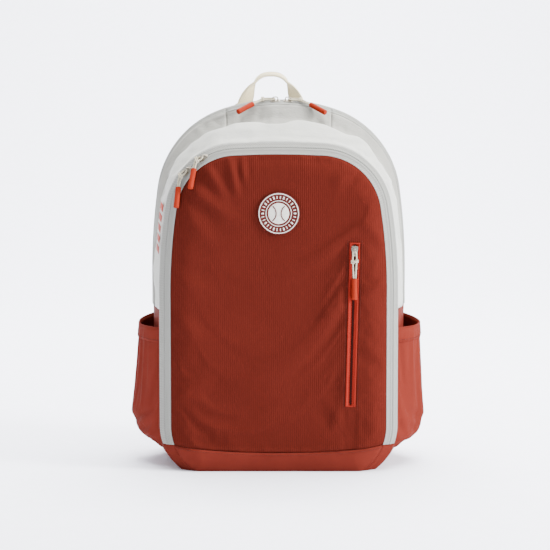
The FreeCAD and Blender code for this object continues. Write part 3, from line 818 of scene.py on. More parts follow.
def fan(rings, count):
    """Triangles from point 0 to the first of its rings, then quads out to the last."""
    faces = [(0, 1 + k, 1 + (k + 1) % count) for k in range(count)]
    return faces + [(a + 1, d + 1, c + 1, b + 1) for a, b, c, d in ring_faces(rings, count)]


def slab(name, shape, y0, y1, material, bevel):
    """A flat piece from its (x, z) outline in metres, between two depths, with rounded edges."""
    count = len(shape)
    verts = [(x, y, z) for y in (y0, y1) for x, z in shape]
    faces = [tuple(range(count)), tuple(range(2 * count - 1, count - 1, -1))]
    faces += [(i, i + count, (i + 1) % count + count, (i + 1) % count) for i in range(count)]
    obj = finish_mesh(name, verts, faces, material, [(v[0], v[2]) for v in verts])
    soft = obj.modifiers.new("edge", "BEVEL")
    soft.width, soft.segments, soft.limit_method = bevel, 3, "ANGLE"
    return applied(obj)


def rounded_box(half_x, half_z, corner, steps=5, centre=(0, 0)):
    """An (x, z) outline of a rectangle with round corners."""
    points = []
    for k, (sx, sz) in enumerate(((1, 1), (-1, 1), (-1, -1), (1, -1))):
        for i in range(steps + 1):
            a = math.radians(90 * k + 90 * i / steps)
            points.append((centre[0] + sx * (half_x - corner) + corner * math.cos(a),
                           centre[1] + sz * (half_z - corner) + corner * math.sin(a)))
    return points


def stitches(name, path, normals, pitch, thread="thread", gauge=0.00028):
    """A row of stitches along a line of points: short threads that dip at their ends."""
    path = [Vector(p) for p in path]
    normals = [Vector(n) for n in normals]
    lengths = [0.0]
    for a, b in zip(path, path[1:]):
        lengths.append(lengths[-1] + (b - a).length)
    count = int(lengths[-1] / pitch)
    verts, faces = [], []

    def at(s):
        i = min(max(int(np.searchsorted(lengths, s)) - 1, 0), len(path) - 2)
        t = (s - lengths[i]) / max(lengths[i + 1] - lengths[i], 1e-9)
        return path[i].lerp(path[i + 1], t), normals[i].lerp(normals[i + 1], t).normalized()

    for k in range(count):
        start = len(verts)
        for t, out, wide in ((0.08, -0.4, 0.5), (0.3, 0.8, 1.0), (0.7, 0.8, 1.0), (0.92, -0.4, 0.5)):
            p, n = at((k + t) * lengths[-1] / count)
            q, _ = at((k + t) * lengths[-1] / count + 1e-4)
            side = (q - p).cross(n).normalized()
            p = p + n * (0.0002 + gauge * out)
            for a, b in ((1, 0), (0, 1), (-1, 0), (0, -1)):
                verts.append(p + side * (a * gauge * wide) + n * (b * gauge * wide))
        faces += [tuple(start + i for i in quad) for quad in ring_faces(4, 4)]
        faces.append((start + 3, start + 2, start + 1, start))
        faces.append((start + 12, start + 13, start + 14, start + 15))
    return finish_mesh(name, verts, faces, thread)


def teeth(name, path, normals, side_sign, material, pitch=0.0026, size=(0.0016, 0.0011, 0.0010)):
    """Half a zip's coil: one rounded tooth after another, on one side of the line."""
    path = [Vector(p) for p in path]
    lengths = np.concatenate([[0], np.cumsum([(b - a).length for a, b in zip(path, path[1:])])])
    count = int(lengths[-1] / pitch)
    verts, faces = [], []
    for k in range(count):
        s = (k + (0.25 if side_sign > 0 else 0.75)) * pitch
        i = min(max(int(np.searchsorted(lengths, s)) - 1, 0), len(path) - 2)
        t = (s - lengths[i]) / (lengths[i + 1] - lengths[i])
        p, n = path[i].lerp(path[i + 1], t), Vector(normals[i])
        ahead = (path[i + 1] - path[i]).normalized()
        side = ahead.cross(n).normalized() * side_sign
        start = len(verts)
        for out, shrink in ((-1, 1.0), (0.4, 1.0), (1, 0.6)):
            for a, b in ((-1, -1), (1, -1), (1, 1), (-1, 1)):
                offset = side * (0.5 + a * shrink) * size[0] / 2 + ahead * (b * shrink * size[1] / 2)
                verts.append(p + offset + n * (out * size[2] / 2))
        faces += [tuple(start + i for i in quad) for quad in ring_faces(3, 4)]
        faces.append((start + 8, start + 9, start + 10, start + 11))
    return finish_mesh(name, verts, faces, material)


# ---- zips ----------------------------------------------------------------------------------
# Across half a zip tape: place from its sewn edge (0) to the zip's line (1), and height in mm.
TAPE_PROFILE = [(0.0, -0.3), (0.05, 0.1), (0.2, 0.3), (0.45, 0.3), (0.58, 0.35), (0.68, 0.95),
                (0.78, 1.25), (0.88, 1.1), (0.96, 0.5), (0.985, -0.6)]
COIL_LINE = [(1.0, -0.7)]
TAPE_CLOTH = 0.0006


def zip_rows(edge, line, low, profile):
    """Rows of points from a sewn edge station to a zip line station, with raised cord covers."""
    a, b = outline(edge, low), outline(line, low)
    rows_a, rows_b = np.insert(a, 1, edge.y, axis=1), np.insert(b, 1, line.y, axis=1)
    flat = np.array([rows_a + (rows_b - rows_a) * t for t, _ in profile]) * MM
    along = np.gradient(flat, axis=1)
    across = np.broadcast_to((rows_b - rows_a) * MM, flat.shape)
    normals = np.cross(across, along)
    normals /= np.linalg.norm(normals, axis=2, keepdims=True)
    facing = (normals * np.array([0, -1, 0.3])).sum()
    normals *= 1 if facing > 0 else -1
    heights = np.array([h for _, h in profile])[:, None, None] * MM
    return flat + normals * heights, normals


def cut_tape(points, normals, limit, middle):
    """The middle of a tape between x = -limit and limit, in mm, or its part right of limit."""
    edge, top = limit * MM, points[..., 2] > 0.3
    past = np.argmax(top & (points[..., 0] <= edge), axis=1)
    ends = []
    for rows in (points, normals):
        before = rows[np.arange(len(rows)), past - 1]
        after = rows[np.arange(len(rows)), past]
        xs = points[np.arange(len(rows)), past - 1, 0], points[np.arange(len(rows)), past, 0]
        share = ((edge - xs[0]) / (xs[1] - xs[0]))[:, None]
        ends.append((before + (after - before) * share)[:, None])
    if not middle:
        stop = past.min()
        return [np.concatenate([rows[:, :stop], end], axis=1)
                for rows, end in zip((points, normals), ends)]
    start, flip = past.max() + 1, np.array([-1, 1, 1])
    return [np.concatenate([end, rows[:, start:-start], end * flip], axis=1)
            for rows, end in zip((points, normals), ends)]


def tape_piece(name, edge, line, low, body, node, clip=None):
    """Half of a zip's tape, with a row of stitches near its sewn edge."""
    points, normals = zip_rows(edge, line, low, TAPE_PROFILE)
    if clip:
        points, normals = cut_tape(points, normals, clip, True)
    base = thicken(grid(name + "_cloth", points, "tape"), TAPE_CLOTH, 0.0)
    seam = stitches(name + "_seam", points[2] * 0.45 + points[1] * 0.55, normals[1], 0.003,
                    "white_thread", 0.0002)
    dress(joined(name, [base, seam]), body, "light_grey_tape", node)


def build_front_zip():
    """Both halves of the front zip's tape and of its coil."""
    low = SEAM_Z + 0.5
    tape_piece("front_tape_flap", PANEL, FRONT_ZIP, low, "flap", "front_tape_inner")
    tape_piece("front_tape_bag", TAPE_EDGE, FRONT_ZIP, low, "bag", "front_tape_outer")
    for name, body, sign, node in (("front_teeth_flap", "flap", 1, "front_coil_inner"),
                                   ("front_teeth_bag", "bag", -1, "front_coil_outer")):
        points, normals = zip_rows(PANEL, FRONT_ZIP, low, COIL_LINE)
        dress(teeth(name, points[0], normals[0], sign, "coil"), body, "light_grey_coil", node)


def build_main_zip():
    """The main zip's tapes: the front one is cut at the mouth that folds forward."""
    low, half = SIDE_TOP, MOUTH_HALF
    tape_piece("main_tape_mouth", ZIP_FRONT, MAIN_ZIP, low, "mouth", "mouth_tape", half)
    points, _ = cut_tape(*zip_rows(ZIP_FRONT, MAIN_ZIP, low, TAPE_PROFILE), half, False)
    sides = []
    for name, keep in (("right", 1), ("left", -1)):
        side = grid("main_tape_" + name, points * [keep, 1, 1], "tape", keep < 0)
        sides.append(thicken(side, TAPE_CLOTH, 0.0))
    dress(joined("main_tape_sides", sides), "bag", "light_grey_tape", "main_tape_front")
    tape_piece("main_tape_back", ZIP_REAR, MAIN_ZIP, low, "bag", "main_tape_rear")
    points, normals = zip_rows(ZIP_FRONT, MAIN_ZIP, low, COIL_LINE)
    coil = [teeth("main_teeth_" + str(sign), points[0], normals[0], sign, "coil")
            for sign in (1, -1)]
    dress(joined("main_teeth", coil), "bag", "light_grey_coil", "main_coil")


def build_pocket_zip():
    """The upright zip in the front panel: two bright edges, a dark coil and its flat pouch."""
    parts = []
    for side in (-1, 1):
        rows = []
        for across, depth in ((6.4, -0.25), (5.7, -0.75), (5.0, -0.7), (4.5, 0.3), (3.4, 0.9),
                              (2.2, 1.0), (1.3, 1.3)):
            rows.append([tuple(slot_point(side * across, along, depth))
                         for along in np.linspace(-0.5, SLOT_LENGTH + 0.5, 84)])
        points = np.array(rows)
        parts.append(thicken(grid("edge_" + str(side), points, "red_tape"), TAPE_CLOTH, 0.0))
    for end, along, depth in (("top", -0.8, -0.5), ("low", SLOT_LENGTH + 0.8, 0.9)):
        bar = [slot_point(a, along, depth) for a in np.linspace(-6.6, 6.6, 8)]
        parts.append(tube("bar_" + end, bar, 0.0010, "red_tape", 8))
    dress(joined("pocket_zip_edges", parts), "flap", "orange_red_tape", "pocket_zip_tape")
    line = [slot_point(0, along, 1.1) for along in np.linspace(1, SLOT_LENGTH - 1, 90)]
    normals = [Vector((0, -1, 0))] * len(line)
    coil = [teeth("coil_" + str(s), line, normals, s, "red_coil", 0.0022, (0.0028, 0.0012, 0.0016))
            for s in (1, -1)]
    dress(joined("pocket_zip_teeth", coil), "flap", "terracotta_coil", "pocket_zip_coil")
    rows = []
    for side in (-1, 1):
        path = [slot_point(side * 9.0, along, -0.75) for along in np.linspace(-5, SLOT_LENGTH + 5, 60)]
        rows.append(stitches("row_" + str(side), path, [Vector((0, -1, 0))] * len(path), 0.0034))
    dress(joined("pocket_zip_stitches", rows), "flap", "orange_red_tape")
    low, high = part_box("pocket_bag")
    xs = np.linspace(low[0], high[0], 30)
    zs = np.linspace(low[2], high[2], 40)
    points = np.array([[(x, low[1] + 0.0015, z) for x in xs] for z in zs])
    sag = field(points, 0.05, 11) * 0.001
    points[..., 1] += np.abs(sag)
    dress(thicken(grid("pouch", points, "lining"), 0.0008, 0.0), "flap", "grey_lining",
          "pocket_bag")


# ---- the sewn shell ------------------------------------------------------------------------
def rows_of(stations, ys, low=0.0, step=4.0):
    """Rows of points over the bag, one for each depth, from right to left, in metres."""
    rows = []
    for y in ys:
        flat = outline(station_at(stations, y), low, step)
        rows.append(np.insert(flat, 1, y, axis=1))
    return np.array(rows) * MM


def cut_where(points, axis, limit, upward, count):
    """The start of each row, up to where it passes a limit along an axis."""
    rows = []
    for row in points:
        past = row[:, axis] >= limit if upward else row[:, axis] <= limit
        i = int(np.argmax(past))
        a, b = row[i - 1], row[i]
        end = a + (b - a) * (limit - a[axis]) / (b[axis] - a[axis])
        rows.append(resampled(np.vstack([row[:i], end]), count))
    return np.array(rows)


def stood_out(points, relief):
    """The grid with each point moved along its normal by relief(points, across)."""
    across = np.repeat(np.linspace(0, 1, points.shape[0])[:, None], points.shape[1], axis=1)
    return points + grid_normals(points) * relief(points, across)[..., None]


def window(t, soft):
    """0 at both ends of the run from 0 to 1, and 1 away from them."""
    return np.clip(t / soft, 0, 1) * np.clip((1 - t) / soft, 0, 1)


def crumple(points, across, seed, depth, size, stretch=(1, 1, 1)):
    """Soft creases that die out at the seams across the panel, in metres."""
    broad = field(points, size * 1.8, seed, stretch)
    fine = field(points, size * 0.6, seed + 5, stretch)
    return (broad + 0.5 * fine) * depth * window(across, 0.12)


def gusset_relief(points, across):
    """Front gusset: puckers at the zip's seam, soft creases, and dents and swells in its crest."""
    x = points[..., 0]
    out = crumple(points, across, 3, 0.0026, 0.034, (1, 1.5, 1.3))
    seam = field(points, 0.010, 8, (1, 0.2, 1)) * 0.0010 * np.exp(-across / 0.16) * (across > 0)
    rim = np.exp(-((across - 0.70) / 0.20) ** 2)
    dents = 0
    for centre, width, depth in ((-0.003, 0.017, 0.0072), (0.034, 0.022, -0.0024),
                                 (-0.046, 0.020, -0.0018), (0.086, 0.014, 0.0036)):
        dents = dents + np.exp(-((x - centre) / width) ** 2) * depth
    top = points[..., 2] > 0.40
    folds = field(points, 0.022, 21, (0.5, 1, 2.5)) * 0.0019 * top * window(across, 0.2)
    return out + seam - dents * rim * top + folds


def valley_relief(points, across):
    """Gusset between the crest and the main zip: slack cloth with cross folds."""
    folds = np.minimum(crumple(points, across, 13, 0.0040, 0.022, (1.5, 0.8, 0.8)), 0.0004)
    above_panel = np.clip((points[..., 2] / MM - SIDE_TOP) / 20.0, 0, 1)
    return (folds - 0.0046 * window(across, 0.5)) * above_panel


def rear_relief(points, across):
    """Rear gusset: shallow creases."""
    return crumple(points, across, 17, 0.0016, 0.04)


def side_relief(points, across):
    """Lower side panels: shallow creases that die out at the floor."""
    return crumple(points, across, 19, 0.0014, 0.05) * np.clip(points[..., 2] / 0.04, 0, 1)


def gusset(name, points, material, slack):
    """A gusset from its grid, given its thickness and, if slack, loosened by cloth first."""
    obj = grid(name, points, material, True)
    if slack:
        sim(obj, border_pins(*points.shape[:2]), frames=12, growth=0.012, pressure=0.5, stiffness=8.0,
            gravity=0.2, cap=0.003)
    return thicken(obj, WALL)


def floor_rows(half_widths, ys, count):
    """Rows of points just above the floor, as wide as the bag's foot at each depth."""
    return np.array([[(x, y * MM, 0.0006) for x in np.linspace(half, -half, count)]
                     for half, y in zip(half_widths, ys)])


def build_shell():
    """Every off-white gusset and the coated lower panels."""
    ys = np.concatenate([np.linspace(-76, -52, 9), np.linspace(-49, -28, 11), [-25.5, -24.0]])
    points = rows_of([TAPE_EDGE, CREST, VALLEY], ys, SIDE_TOP)
    front = gusset("gusset_front", stood_out(points, gusset_relief), "white", True)
    dress(front, "bag", "off_white_nylon", "front_gusset")

    ys = np.linspace(-24, 4, 12)
    strip = rows_of([VALLEY, ZIP_FRONT], ys, SIDE_TOP, 3.5)
    middle = stood_out(clipped(strip, (-MOUTH_HALF, MOUTH_HALF)), valley_relief)
    # The mouth strip takes the darker nylon copy, painted shade for the cloth in shadow behind the crest.
    mouth = gusset("gusset_mouth", middle, "white_painted_shade", False)
    dress(mouth, "mouth", "off_white_nylon", "mouth_gusset")
    side = cut_where(strip, 0, MOUTH_HALF * MM, False, 84)
    for name, sign in (("right", 1), ("left", -1)):
        points = stood_out(side * [sign, 1, 1], valley_relief)
        # The side strips take the same darker nylon copy, painted shade.
        obj = gusset("gusset_mid_" + name, points, "white_painted_shade", False)
        if sign < 0:
            obj.data.flip_normals()
        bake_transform(obj)
        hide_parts("mid_gusset_" + name)

    ys = np.linspace(20, 81, 18)
    points = stood_out(rows_of([ZIP_REAR, BACK], ys, SIDE_TOP), rear_relief)
    dress(gusset("gusset_rear", points, "white", True), "bag", "off_white_nylon", "rear_gusset")

    ys = np.concatenate([np.linspace(-76, -24, 14), np.linspace(-20, 81, 26)])
    walls = rows_of(WHOLE_BAG, ys, 0.6)
    side = cut_where(walls, 2, SIDE_TOP * MM, True, 64)
    for name, sign in (("right", 1), ("left", -1)):
        points = stood_out(side * [sign, 1, 1], side_relief)
        obj = grid("side_low_" + name, points, "coated", sign > 0)
        dress(thicken(obj, WALL), "bag", "terracotta_coated", "side_panel_" + name)
    ys = np.linspace(-76, 81, 30)
    base = floor_rows(rows_of(WHOLE_BAG, ys, 0.6)[:, 0, 0], ys, 44)
    base[..., 2] += np.abs(field(base, 0.05, 23)) * 0.0006
    dress(thicken(grid("base", base, "coated"), 0.0006, 0.0), "bag", "terracotta_coated", "base_panel")


def build_band():
    """The coated band under the front panel, round to the side panels, and its seam."""
    lower = outline(PANEL, 0.0, 3.0)
    right = lower[(lower[:, 1] <= SEAM_Z) & (lower[:, 0] > 0)]
    left = right[::-1] * [-1, 1]
    top_x = np.linspace(-right[-1, 0], right[-1, 0], 80)[1:-1]
    seam = np.column_stack([top_x, seam_line(top_x)])
    floor_x = np.linspace(right[0, 0], left[-1, 0], 60)[1:-1]
    under = np.column_stack([floor_x, np.zeros(len(floor_x))])
    closed = np.vstack([right, seam[::-1], left, under[::-1]])
    xz, faces, _ = filled(closed, 3.4)
    ends = looped(lower)
    gap, _ = edge_distance(xz, ends)
    floor = 1 - (1 - np.clip(xz[:, 1] / 15.0, 0, 1)) ** 2.0
    stand = BULGE + 0.6
    height = stand * np.minimum(crowned(gap), floor)
    pillow = noise_at(xz, 42.0, 16.0, 9.0)
    below = seam_line(xz[:, 0]) - xz[:, 1]
    puckers = noise_along(xz[:, 0], 7.0, 2.0, 5.0)
    height += (1.1 * pillow * np.minimum(1, gap / 10) + 0.7 * puckers * np.exp(-below / 5.0)
               - 1.3 * np.exp(-below / 1.4))
    verts = np.column_stack([xz[:, 0], PANEL.y - height, xz[:, 1]]) * MM
    face = finish_mesh("band_face", verts, [f[::-1] for f in faces], "coated", xz * MM)
    parts = [thicken(face, 0.0011, 1.0)]
    ys = np.linspace(-87, -76, 6)
    ring = rows_of([PANEL, FRONT_ZIP, TAPE_EDGE], ys, 0.3, 3.0)
    side = cut_where(ring, 2, (SEAM_Z + 0.4) * MM, True, 20)
    for sign in (1, -1):
        parts.append(thicken(grid("wrap", side * [sign, 1, 1], "coated", sign > 0), 0.0011))
    base = floor_rows(side[:, 0, 0], ys, 30)
    parts.append(thicken(grid("under", base, "coated"), 0.0008, 0.0))
    path, normals = [], []
    for x in np.linspace(-133, 133, 150):
        spot = np.array([[x, seam_line(np.array([x]))[0] - 2.6]])
        gap, _ = edge_distance(spot, ends)
        depth = stand * crowned(gap[0])
        path.append(Vector((x, PANEL.y - depth - 1.2, spot[0, 1])) * MM)
        normals.append(Vector((0, -1, 0)))
    parts.append(stitches("row", path, normals, 0.0034))
    dress(joined("band_front", parts), "bag", "terracotta_coated", "front_band")


def build_inside():
    """Divider, floor board, back foam and its board."""
    for name, material, slot, station, inward, floor in (
            ("divider", "lining", "grey_lining", VALLEY, 2.6, 2.6),
            ("back_foam", "foam", "foam", BACK, 2.6, 2.6),
            ("back_board", "plastic", "board", BACK, 12.0, 8.0)):
        low, high = [Vector(v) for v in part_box(name)]
        sizes = ("half", "top", "side", "shoulder", "foot")
        smaller = station._replace(**{size: getattr(station, size) - inward for size in sizes})
        closed = outline(smaller, floor, 7.0)
        xz, faces, _ = filled(closed, 11.0)
        wave = noise_at(xz, 50.0, 60.0, 3.0)
        depth = high.y - low.y
        y = low.y + 0.3 * depth + 0.15 * depth * wave
        verts = np.column_stack([xz[:, 0] * MM, y, xz[:, 1] * MM])
        sheet = finish_mesh("inner_" + name, verts, [f[::-1] for f in faces], material, xz * MM)
        dress(thicken(sheet, depth * 0.6, -1.0), "bag", slot, name)
    low, high = [Vector(v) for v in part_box("base_board")]
    plate = rounded_box((high.x - low.x) / 2, (high.y - low.y) / 2, 0.012)
    board = slab("inner_base_board", plate, 0, high.z - low.z, "plastic", 0.0004)
    board.data.transform(Matrix.Translation((0, (high.y + low.y) / 2, low.z))
                         @ Matrix.Rotation(math.radians(90), 4, "X"))
    dress(board, "bag", "board", "base_board")


# ---- side pockets --------------------------------------------------------------------------
PocketLevel = namedtuple("PocketLevel", "z front out back")
POCKET_LEVELS = [PocketLevel(26.0, 140.0, 160.0, 146.0), PocketLevel(46.0, 148.0, 183.0, 154.0),
                 PocketLevel(68.0, 151.0, 191.5, 157.0), PocketLevel(112.0, 151.0, 192.0, 157.0),
                 PocketLevel(205.0, 151.0, 186.5, 157.0)]
POCKET_FRONT, POCKET_BACK = -72.0, 69.0
RIM_Z, RIM_SLOPE = 191.5, math.tan(math.radians(4.3))


def pocket_plan(z, count):
    """The pocket's plan curve at a height, from its front seam to its back seam."""
    zs = [level.z for level in POCKET_LEVELS]
    front, out, back = [np.interp(z, zs, [getattr(level, key) for level in POCKET_LEVELS])
                        for key in ("front", "out", "back")]
    a = np.array([front - 3, POCKET_FRONT])
    b = np.array([out, (POCKET_FRONT + POCKET_BACK) / 2])
    c = np.array([back - 3, POCKET_BACK])
    d = 2 * (a[0] * (b[1] - c[1]) + b[0] * (c[1] - a[1]) + c[0] * (a[1] - b[1]))
    squares = [p @ p for p in (a, b, c)]
    cx = (squares[0] * (b[1] - c[1]) + squares[1] * (c[1] - a[1]) + squares[2] * (a[1] - b[1])) / d
    cy = (squares[0] * (c[0] - b[0]) + squares[1] * (a[0] - c[0]) + squares[2] * (b[0] - a[0])) / d
    r = math.hypot(a[0] - cx, a[1] - cy)
    start, end = math.atan2(a[1] - cy, a[0] - cx), math.atan2(c[1] - cy, c[0] - cx)
    angles = np.linspace(start, end, count)
    return np.column_stack([cx + r * np.cos(angles), cy + r * np.sin(angles)])


def pocket_grid(seed, count=64):
    """The pocket's sheet of points, from its foot to its rim, slack and a little creased."""
    share = np.concatenate([np.linspace(0, 0.2, 12), np.linspace(0.2, 1, 34)[1:]])
    base = POCKET_LEVELS[0].z + 1.0
    rows = []
    for t in share:
        plan = pocket_plan(base, count)
        for _ in range(2):
            z = base + t * (RIM_Z + RIM_SLOPE * plan[:, 1] - base)
            plan = np.array([pocket_plan(height, count)[i] for i, height in enumerate(z)])
        rows.append(np.column_stack([plan, z]))
    points = np.array(rows) * MM
    along, up = np.meshgrid(np.linspace(0, 1, count), share)
    hold = window(along, 0.10)
    folds = field(points, 0.042, seed, (1.0, 1.0, 0.6)) * 0.0034
    fine = field(points, 0.014, seed + 3, (1.0, 1.0, 0.8)) * 0.0005
    pleats = np.sin(along * 30 + 3 * up) * 0.0009 * np.exp(-up / 0.14)
    slack = -0.004 * np.exp(-((up - 0.97) / 0.05) ** 2) * np.sin(along * math.pi)
    sag = 0.0022 * np.exp(-((up - 0.30) / 0.14) ** 2) * np.sin(along * math.pi)
    crease = 0.0030 * np.exp(-((up + 0.30 * along - 0.36) / 0.035) ** 2) * window(along, 0.3)
    out = hold * (folds + fine + pleats + sag - crease) + slack * 0.4
    centre = np.array([0.120, 0.0, 0.0])
    away = (points - centre) * [1, 1, 0]
    away /= np.linalg.norm(away, axis=2, keepdims=True)
    points = points + away * out[..., None]
    points[..., 2] -= 0.0035 * np.sin(along * math.pi) ** 2 * np.clip((up - 0.8) / 0.2, 0, 1)
    return points


def build_pockets():
    """Open side pockets with a bound rim and its row of stitches."""
    for name, sign, seed in (("right", 1, 31), ("left", -1, 47)):
        points = pocket_grid(seed)
        rows, columns = points.shape[:2]
        obj = grid("side_pocket_cloth", points, "coated")
        pins = border_pins(rows, columns)
        for c in range(columns):
            for r in range(rows - 3, rows):
                pins.setdefault(r * columns + c, 0.5)
        sim(obj, pins, frames=16, growth=0.014, pressure=0.6, stiffness=8.0, gravity=0.4, cap=0.004)
        final = np.array([v.co for v in obj.data.vertices]).reshape(points.shape)
        bpy.data.objects.remove(obj)
        final = final * [sign, 1, 1]
        cloth = thicken(grid("pocket_" + name, final, "coated", sign < 0), 0.0014, -1.0)
        dress(cloth, "bag", "terracotta_coated", "side_pocket_" + name)
        rim = final[-7:]
        away = (rim - [sign * 0.12, 0, 0]) * [1, 1, 0]
        away /= np.linalg.norm(away, axis=2, keepdims=True)
        drop = np.linspace(0.009, 0, rim.shape[0])[:, None]
        band = np.repeat(final[-1:], rim.shape[0], axis=0) - np.array([0, 0, 1]) * drop[..., None]
        band[:-1] = band[:-1] * 0.35 + rim[:-1] * 0.65
        swell = np.sin(np.linspace(0, math.pi, rim.shape[0]))[:, None, None] * 0.0004 + 0.0004
        hem = thicken(grid("hem", band + away * swell, "coated", sign < 0), 0.0016, 0.0)
        lip = tube("lip", [tuple(p) for p in final[-1] + [0, 0, 0.0002]], 0.00125, "coated", 8)
        path = band[1] + away[1] * 0.0013
        row = stitches("row", path, away[1], 0.0032)
        dress(joined("pocket_hem_" + name, [hem, lip, row]), "bag", "terracotta_coated",
              "pocket_hem_" + name)


# ---- badge ---------------------------------------------------------------------------------
def build_badge():
    """A round rubbery badge: a ball with two seam curves, inside a circle of short marks."""
    centre = Vector((0, (FACE_Y - 0.1) * MM, BADGE_Z * MM))
    r = BADGE_R * MM
    profile = [(0.0, 0.9), (0.55, 0.9), (0.80, 0.9), (0.86, 0.9), (0.90, 1.25), (0.96, 1.2), (1.0, 0.5),
               (1.0, 0.0)]
    verts, count = [centre - Vector((0, 0.9 * MM, 0))], 72
    for share, height in profile[1:]:
        for k in range(count):
            a = 2 * math.pi * k / count
            verts.append(centre + Vector((math.cos(a) * r * share, -height * MM, math.sin(a) * r * share)))
    parts = [finish_mesh("disc", verts, fan(len(profile) - 1, count), "disc",
                         [(v.x, v.z) for v in verts])]

    def on_disc(x, z, lift=1.0):
        return centre + Vector((x * r, -lift * MM, z * r))

    def circle(share, lift, steps):
        return [on_disc(share * math.cos(a), share * math.sin(a), lift)
                for a in np.linspace(0, 2 * math.pi, steps + 1)[:-1]]

    for share, lift, gauge in ((0.93, 1.2, 0.00062), (0.60, 1.0, 0.00045)):
        parts.append(tube("ring", circle(share, lift, 96), gauge, "badge", 6, closed=True))
    ball = [on_disc(0, 0, 1.25)]
    for share, lift in ((0.30, 1.22), (0.47, 1.1), (0.50, 0.85)):
        ball += circle(share, lift, 48)
    parts.append(finish_mesh("ball", ball, fan(3, 48), "badge", [(v.x, v.z) for v in ball]))
    for side in (-1, 1):
        curve = [on_disc(side * (0.46 - 0.34 * math.cos(a)), 0.40 * math.sin(a), 1.25)
                 for a in np.linspace(-1.05, 1.05, 32)]
        parts.append(tube("seam", curve, 0.0007, "disc", 6))
    for k in range(30):
        a = 2 * math.pi * k / 30
        mark = [on_disc(s * math.cos(a), s * math.sin(a), 1.0) for s in (0.70, 0.83)]
        parts.append(tube("mark", mark, 0.0006 if k % 3 else 0.0010, "badge", 6))
    dress(joined("badge_disc", parts), "flap", "badge_print", "badge")


# ---- sliders, cords and sleeves ------------------------------------------------------------
Pull = namedtuple("Pull", "name at degrees tilt leave bend hang drop length")
COIL_DROP = 9.0
SLIDER_RISE = 3.7
CORD_R = 1.0
CORD_APART, CORD_AT_SLEEVE, CORD_AT_BAIL = 2.4, 1.2, 1.6
PLATE_END = 4.5
HITCH_TURNS, HITCH_HALF, HITCH_LENGTH = 1.75, 4.1, 3.6


def turn(degrees, tilt):
    """A turn by tilt about the piece's own Z, then by degrees about Y."""
    return (Matrix.Rotation(math.radians(degrees), 3, "Y")
            @ Matrix.Rotation(math.radians(tilt), 3, "Z"))


def pulls():
    """The five pullers: slider, where the cord leaves and hangs, and the cord's length in metres."""
    lean = POCKET_ZIP_LEAN
    down = Vector((0, 0, -1))
    at = Vector((POCKET_ZIP_X - COIL_DROP * math.sin(lean), FACE_Y,
                 POCKET_ZIP_HIGH - COIL_DROP * math.cos(lean)))
    made = [Pull("pocket", at, math.degrees(lean), 0.0, down, 14.5, down, 35.0, 0.0713)]
    x, z = shoulder_centre(FRONT_ZIP)
    for name, angle, bend, hang, drop, length in (
            ("front_upper", 30.0, 10.0, (-0.16, -0.38, -0.90), 22.0, 0.0445),
            ("front_lower", 47.5, 12.0, (-0.10, -0.24, -0.96), 26.0, 0.0527)):
        a, r = math.radians(90 + angle), FRONT_ZIP.shoulder
        at = Vector((-x + r * math.cos(a), FRONT_ZIP.y, z + r * math.sin(a)))
        leave = turn(270 - angle, 36.3) @ Vector((0, -0.12, 1)).normalized()
        made.append(Pull(name, at, 270 - angle, 36.3, leave, bend, Vector(hang).normalized(), drop,
                         length))
    x, z = shoulder_centre(MAIN_ZIP)
    r = MAIN_ZIP.shoulder + x / math.sin(math.radians(MAIN_ZIP.crown))
    for name, angle, side, length in (("main_left", 1.1, -1, 0.0681), ("main_right", -3.1, 1, 0.0682)):
        a = math.radians(90 + angle)
        at = Vector((r * math.cos(a), MAIN_ZIP.y, MAIN_ZIP.top - r + r * math.sin(a)))
        degrees, tilt = -angle + 90 * side, -68.0 * side
        leave = turn(degrees, tilt) @ Vector((0, 0, 1))
        hang = Vector((side * 0.68, -0.52, -0.38)).normalized()
        made.append(Pull(name, at, degrees, tilt, leave, 18.0, hang, 34.0, length))
    return made


def build_slider(pull):
    """A plated slider: shaped cover plate with a raised spine, a bail and its two feet."""
    half = [(3.0, 6.5), (4.1, 5.9), (4.3, 4.6), (4.2, 1.5), (3.5, -1.0), (3.3, -4.6), (2.6, -6.1),
            (1.4, -6.5)]
    shape = [(x * MM, z * MM) for x, z in half + [(-x, z) for x, z in reversed(half)]]
    parts = [slab("plate", shape, -1.75 * MM, -0.35 * MM, "nickel", 0.0004)]
    spine = rounded_box(1.5 * MM, 5.4 * MM, 0.7 * MM, 4)
    parts.append(slab("spine", spine, -2.3 * MM, -1.7 * MM, "nickel", 0.00025))
    arch = [(0, -1.8, -3.5), (0, -3.2, -3.6), (0, -4.9, -3.4), (0, -5.9, -2.7), (0, -6.3, -1.4),
            (0, -6.35, 0), (0, -6.3, 1.4), (0, -5.9, 2.7), (0, -4.9, 3.4), (0, -3.2, 3.6), (0, -1.8, 3.5)]
    parts.append(tube("bail", [Vector(p) * MM for p in arch], 0.00068, "nickel", 12))
    for z in (-3.5, 3.5):
        foot = rounded_box(1.3 * MM, 1.1 * MM, 0.5 * MM, 4, (0, z * MM))
        parts.append(slab("foot", foot, -3.1 * MM, -1.9 * MM, "nickel", 0.0003))
    obj = joined("slider_body_" + pull.name, parts)
    obj.data.transform(Matrix.Translation(pull.at * MM) @ turn(pull.degrees, pull.tilt).to_4x4())
    dress(obj, "slider_" + pull.name, "nickel", "slider_" + pull.name)


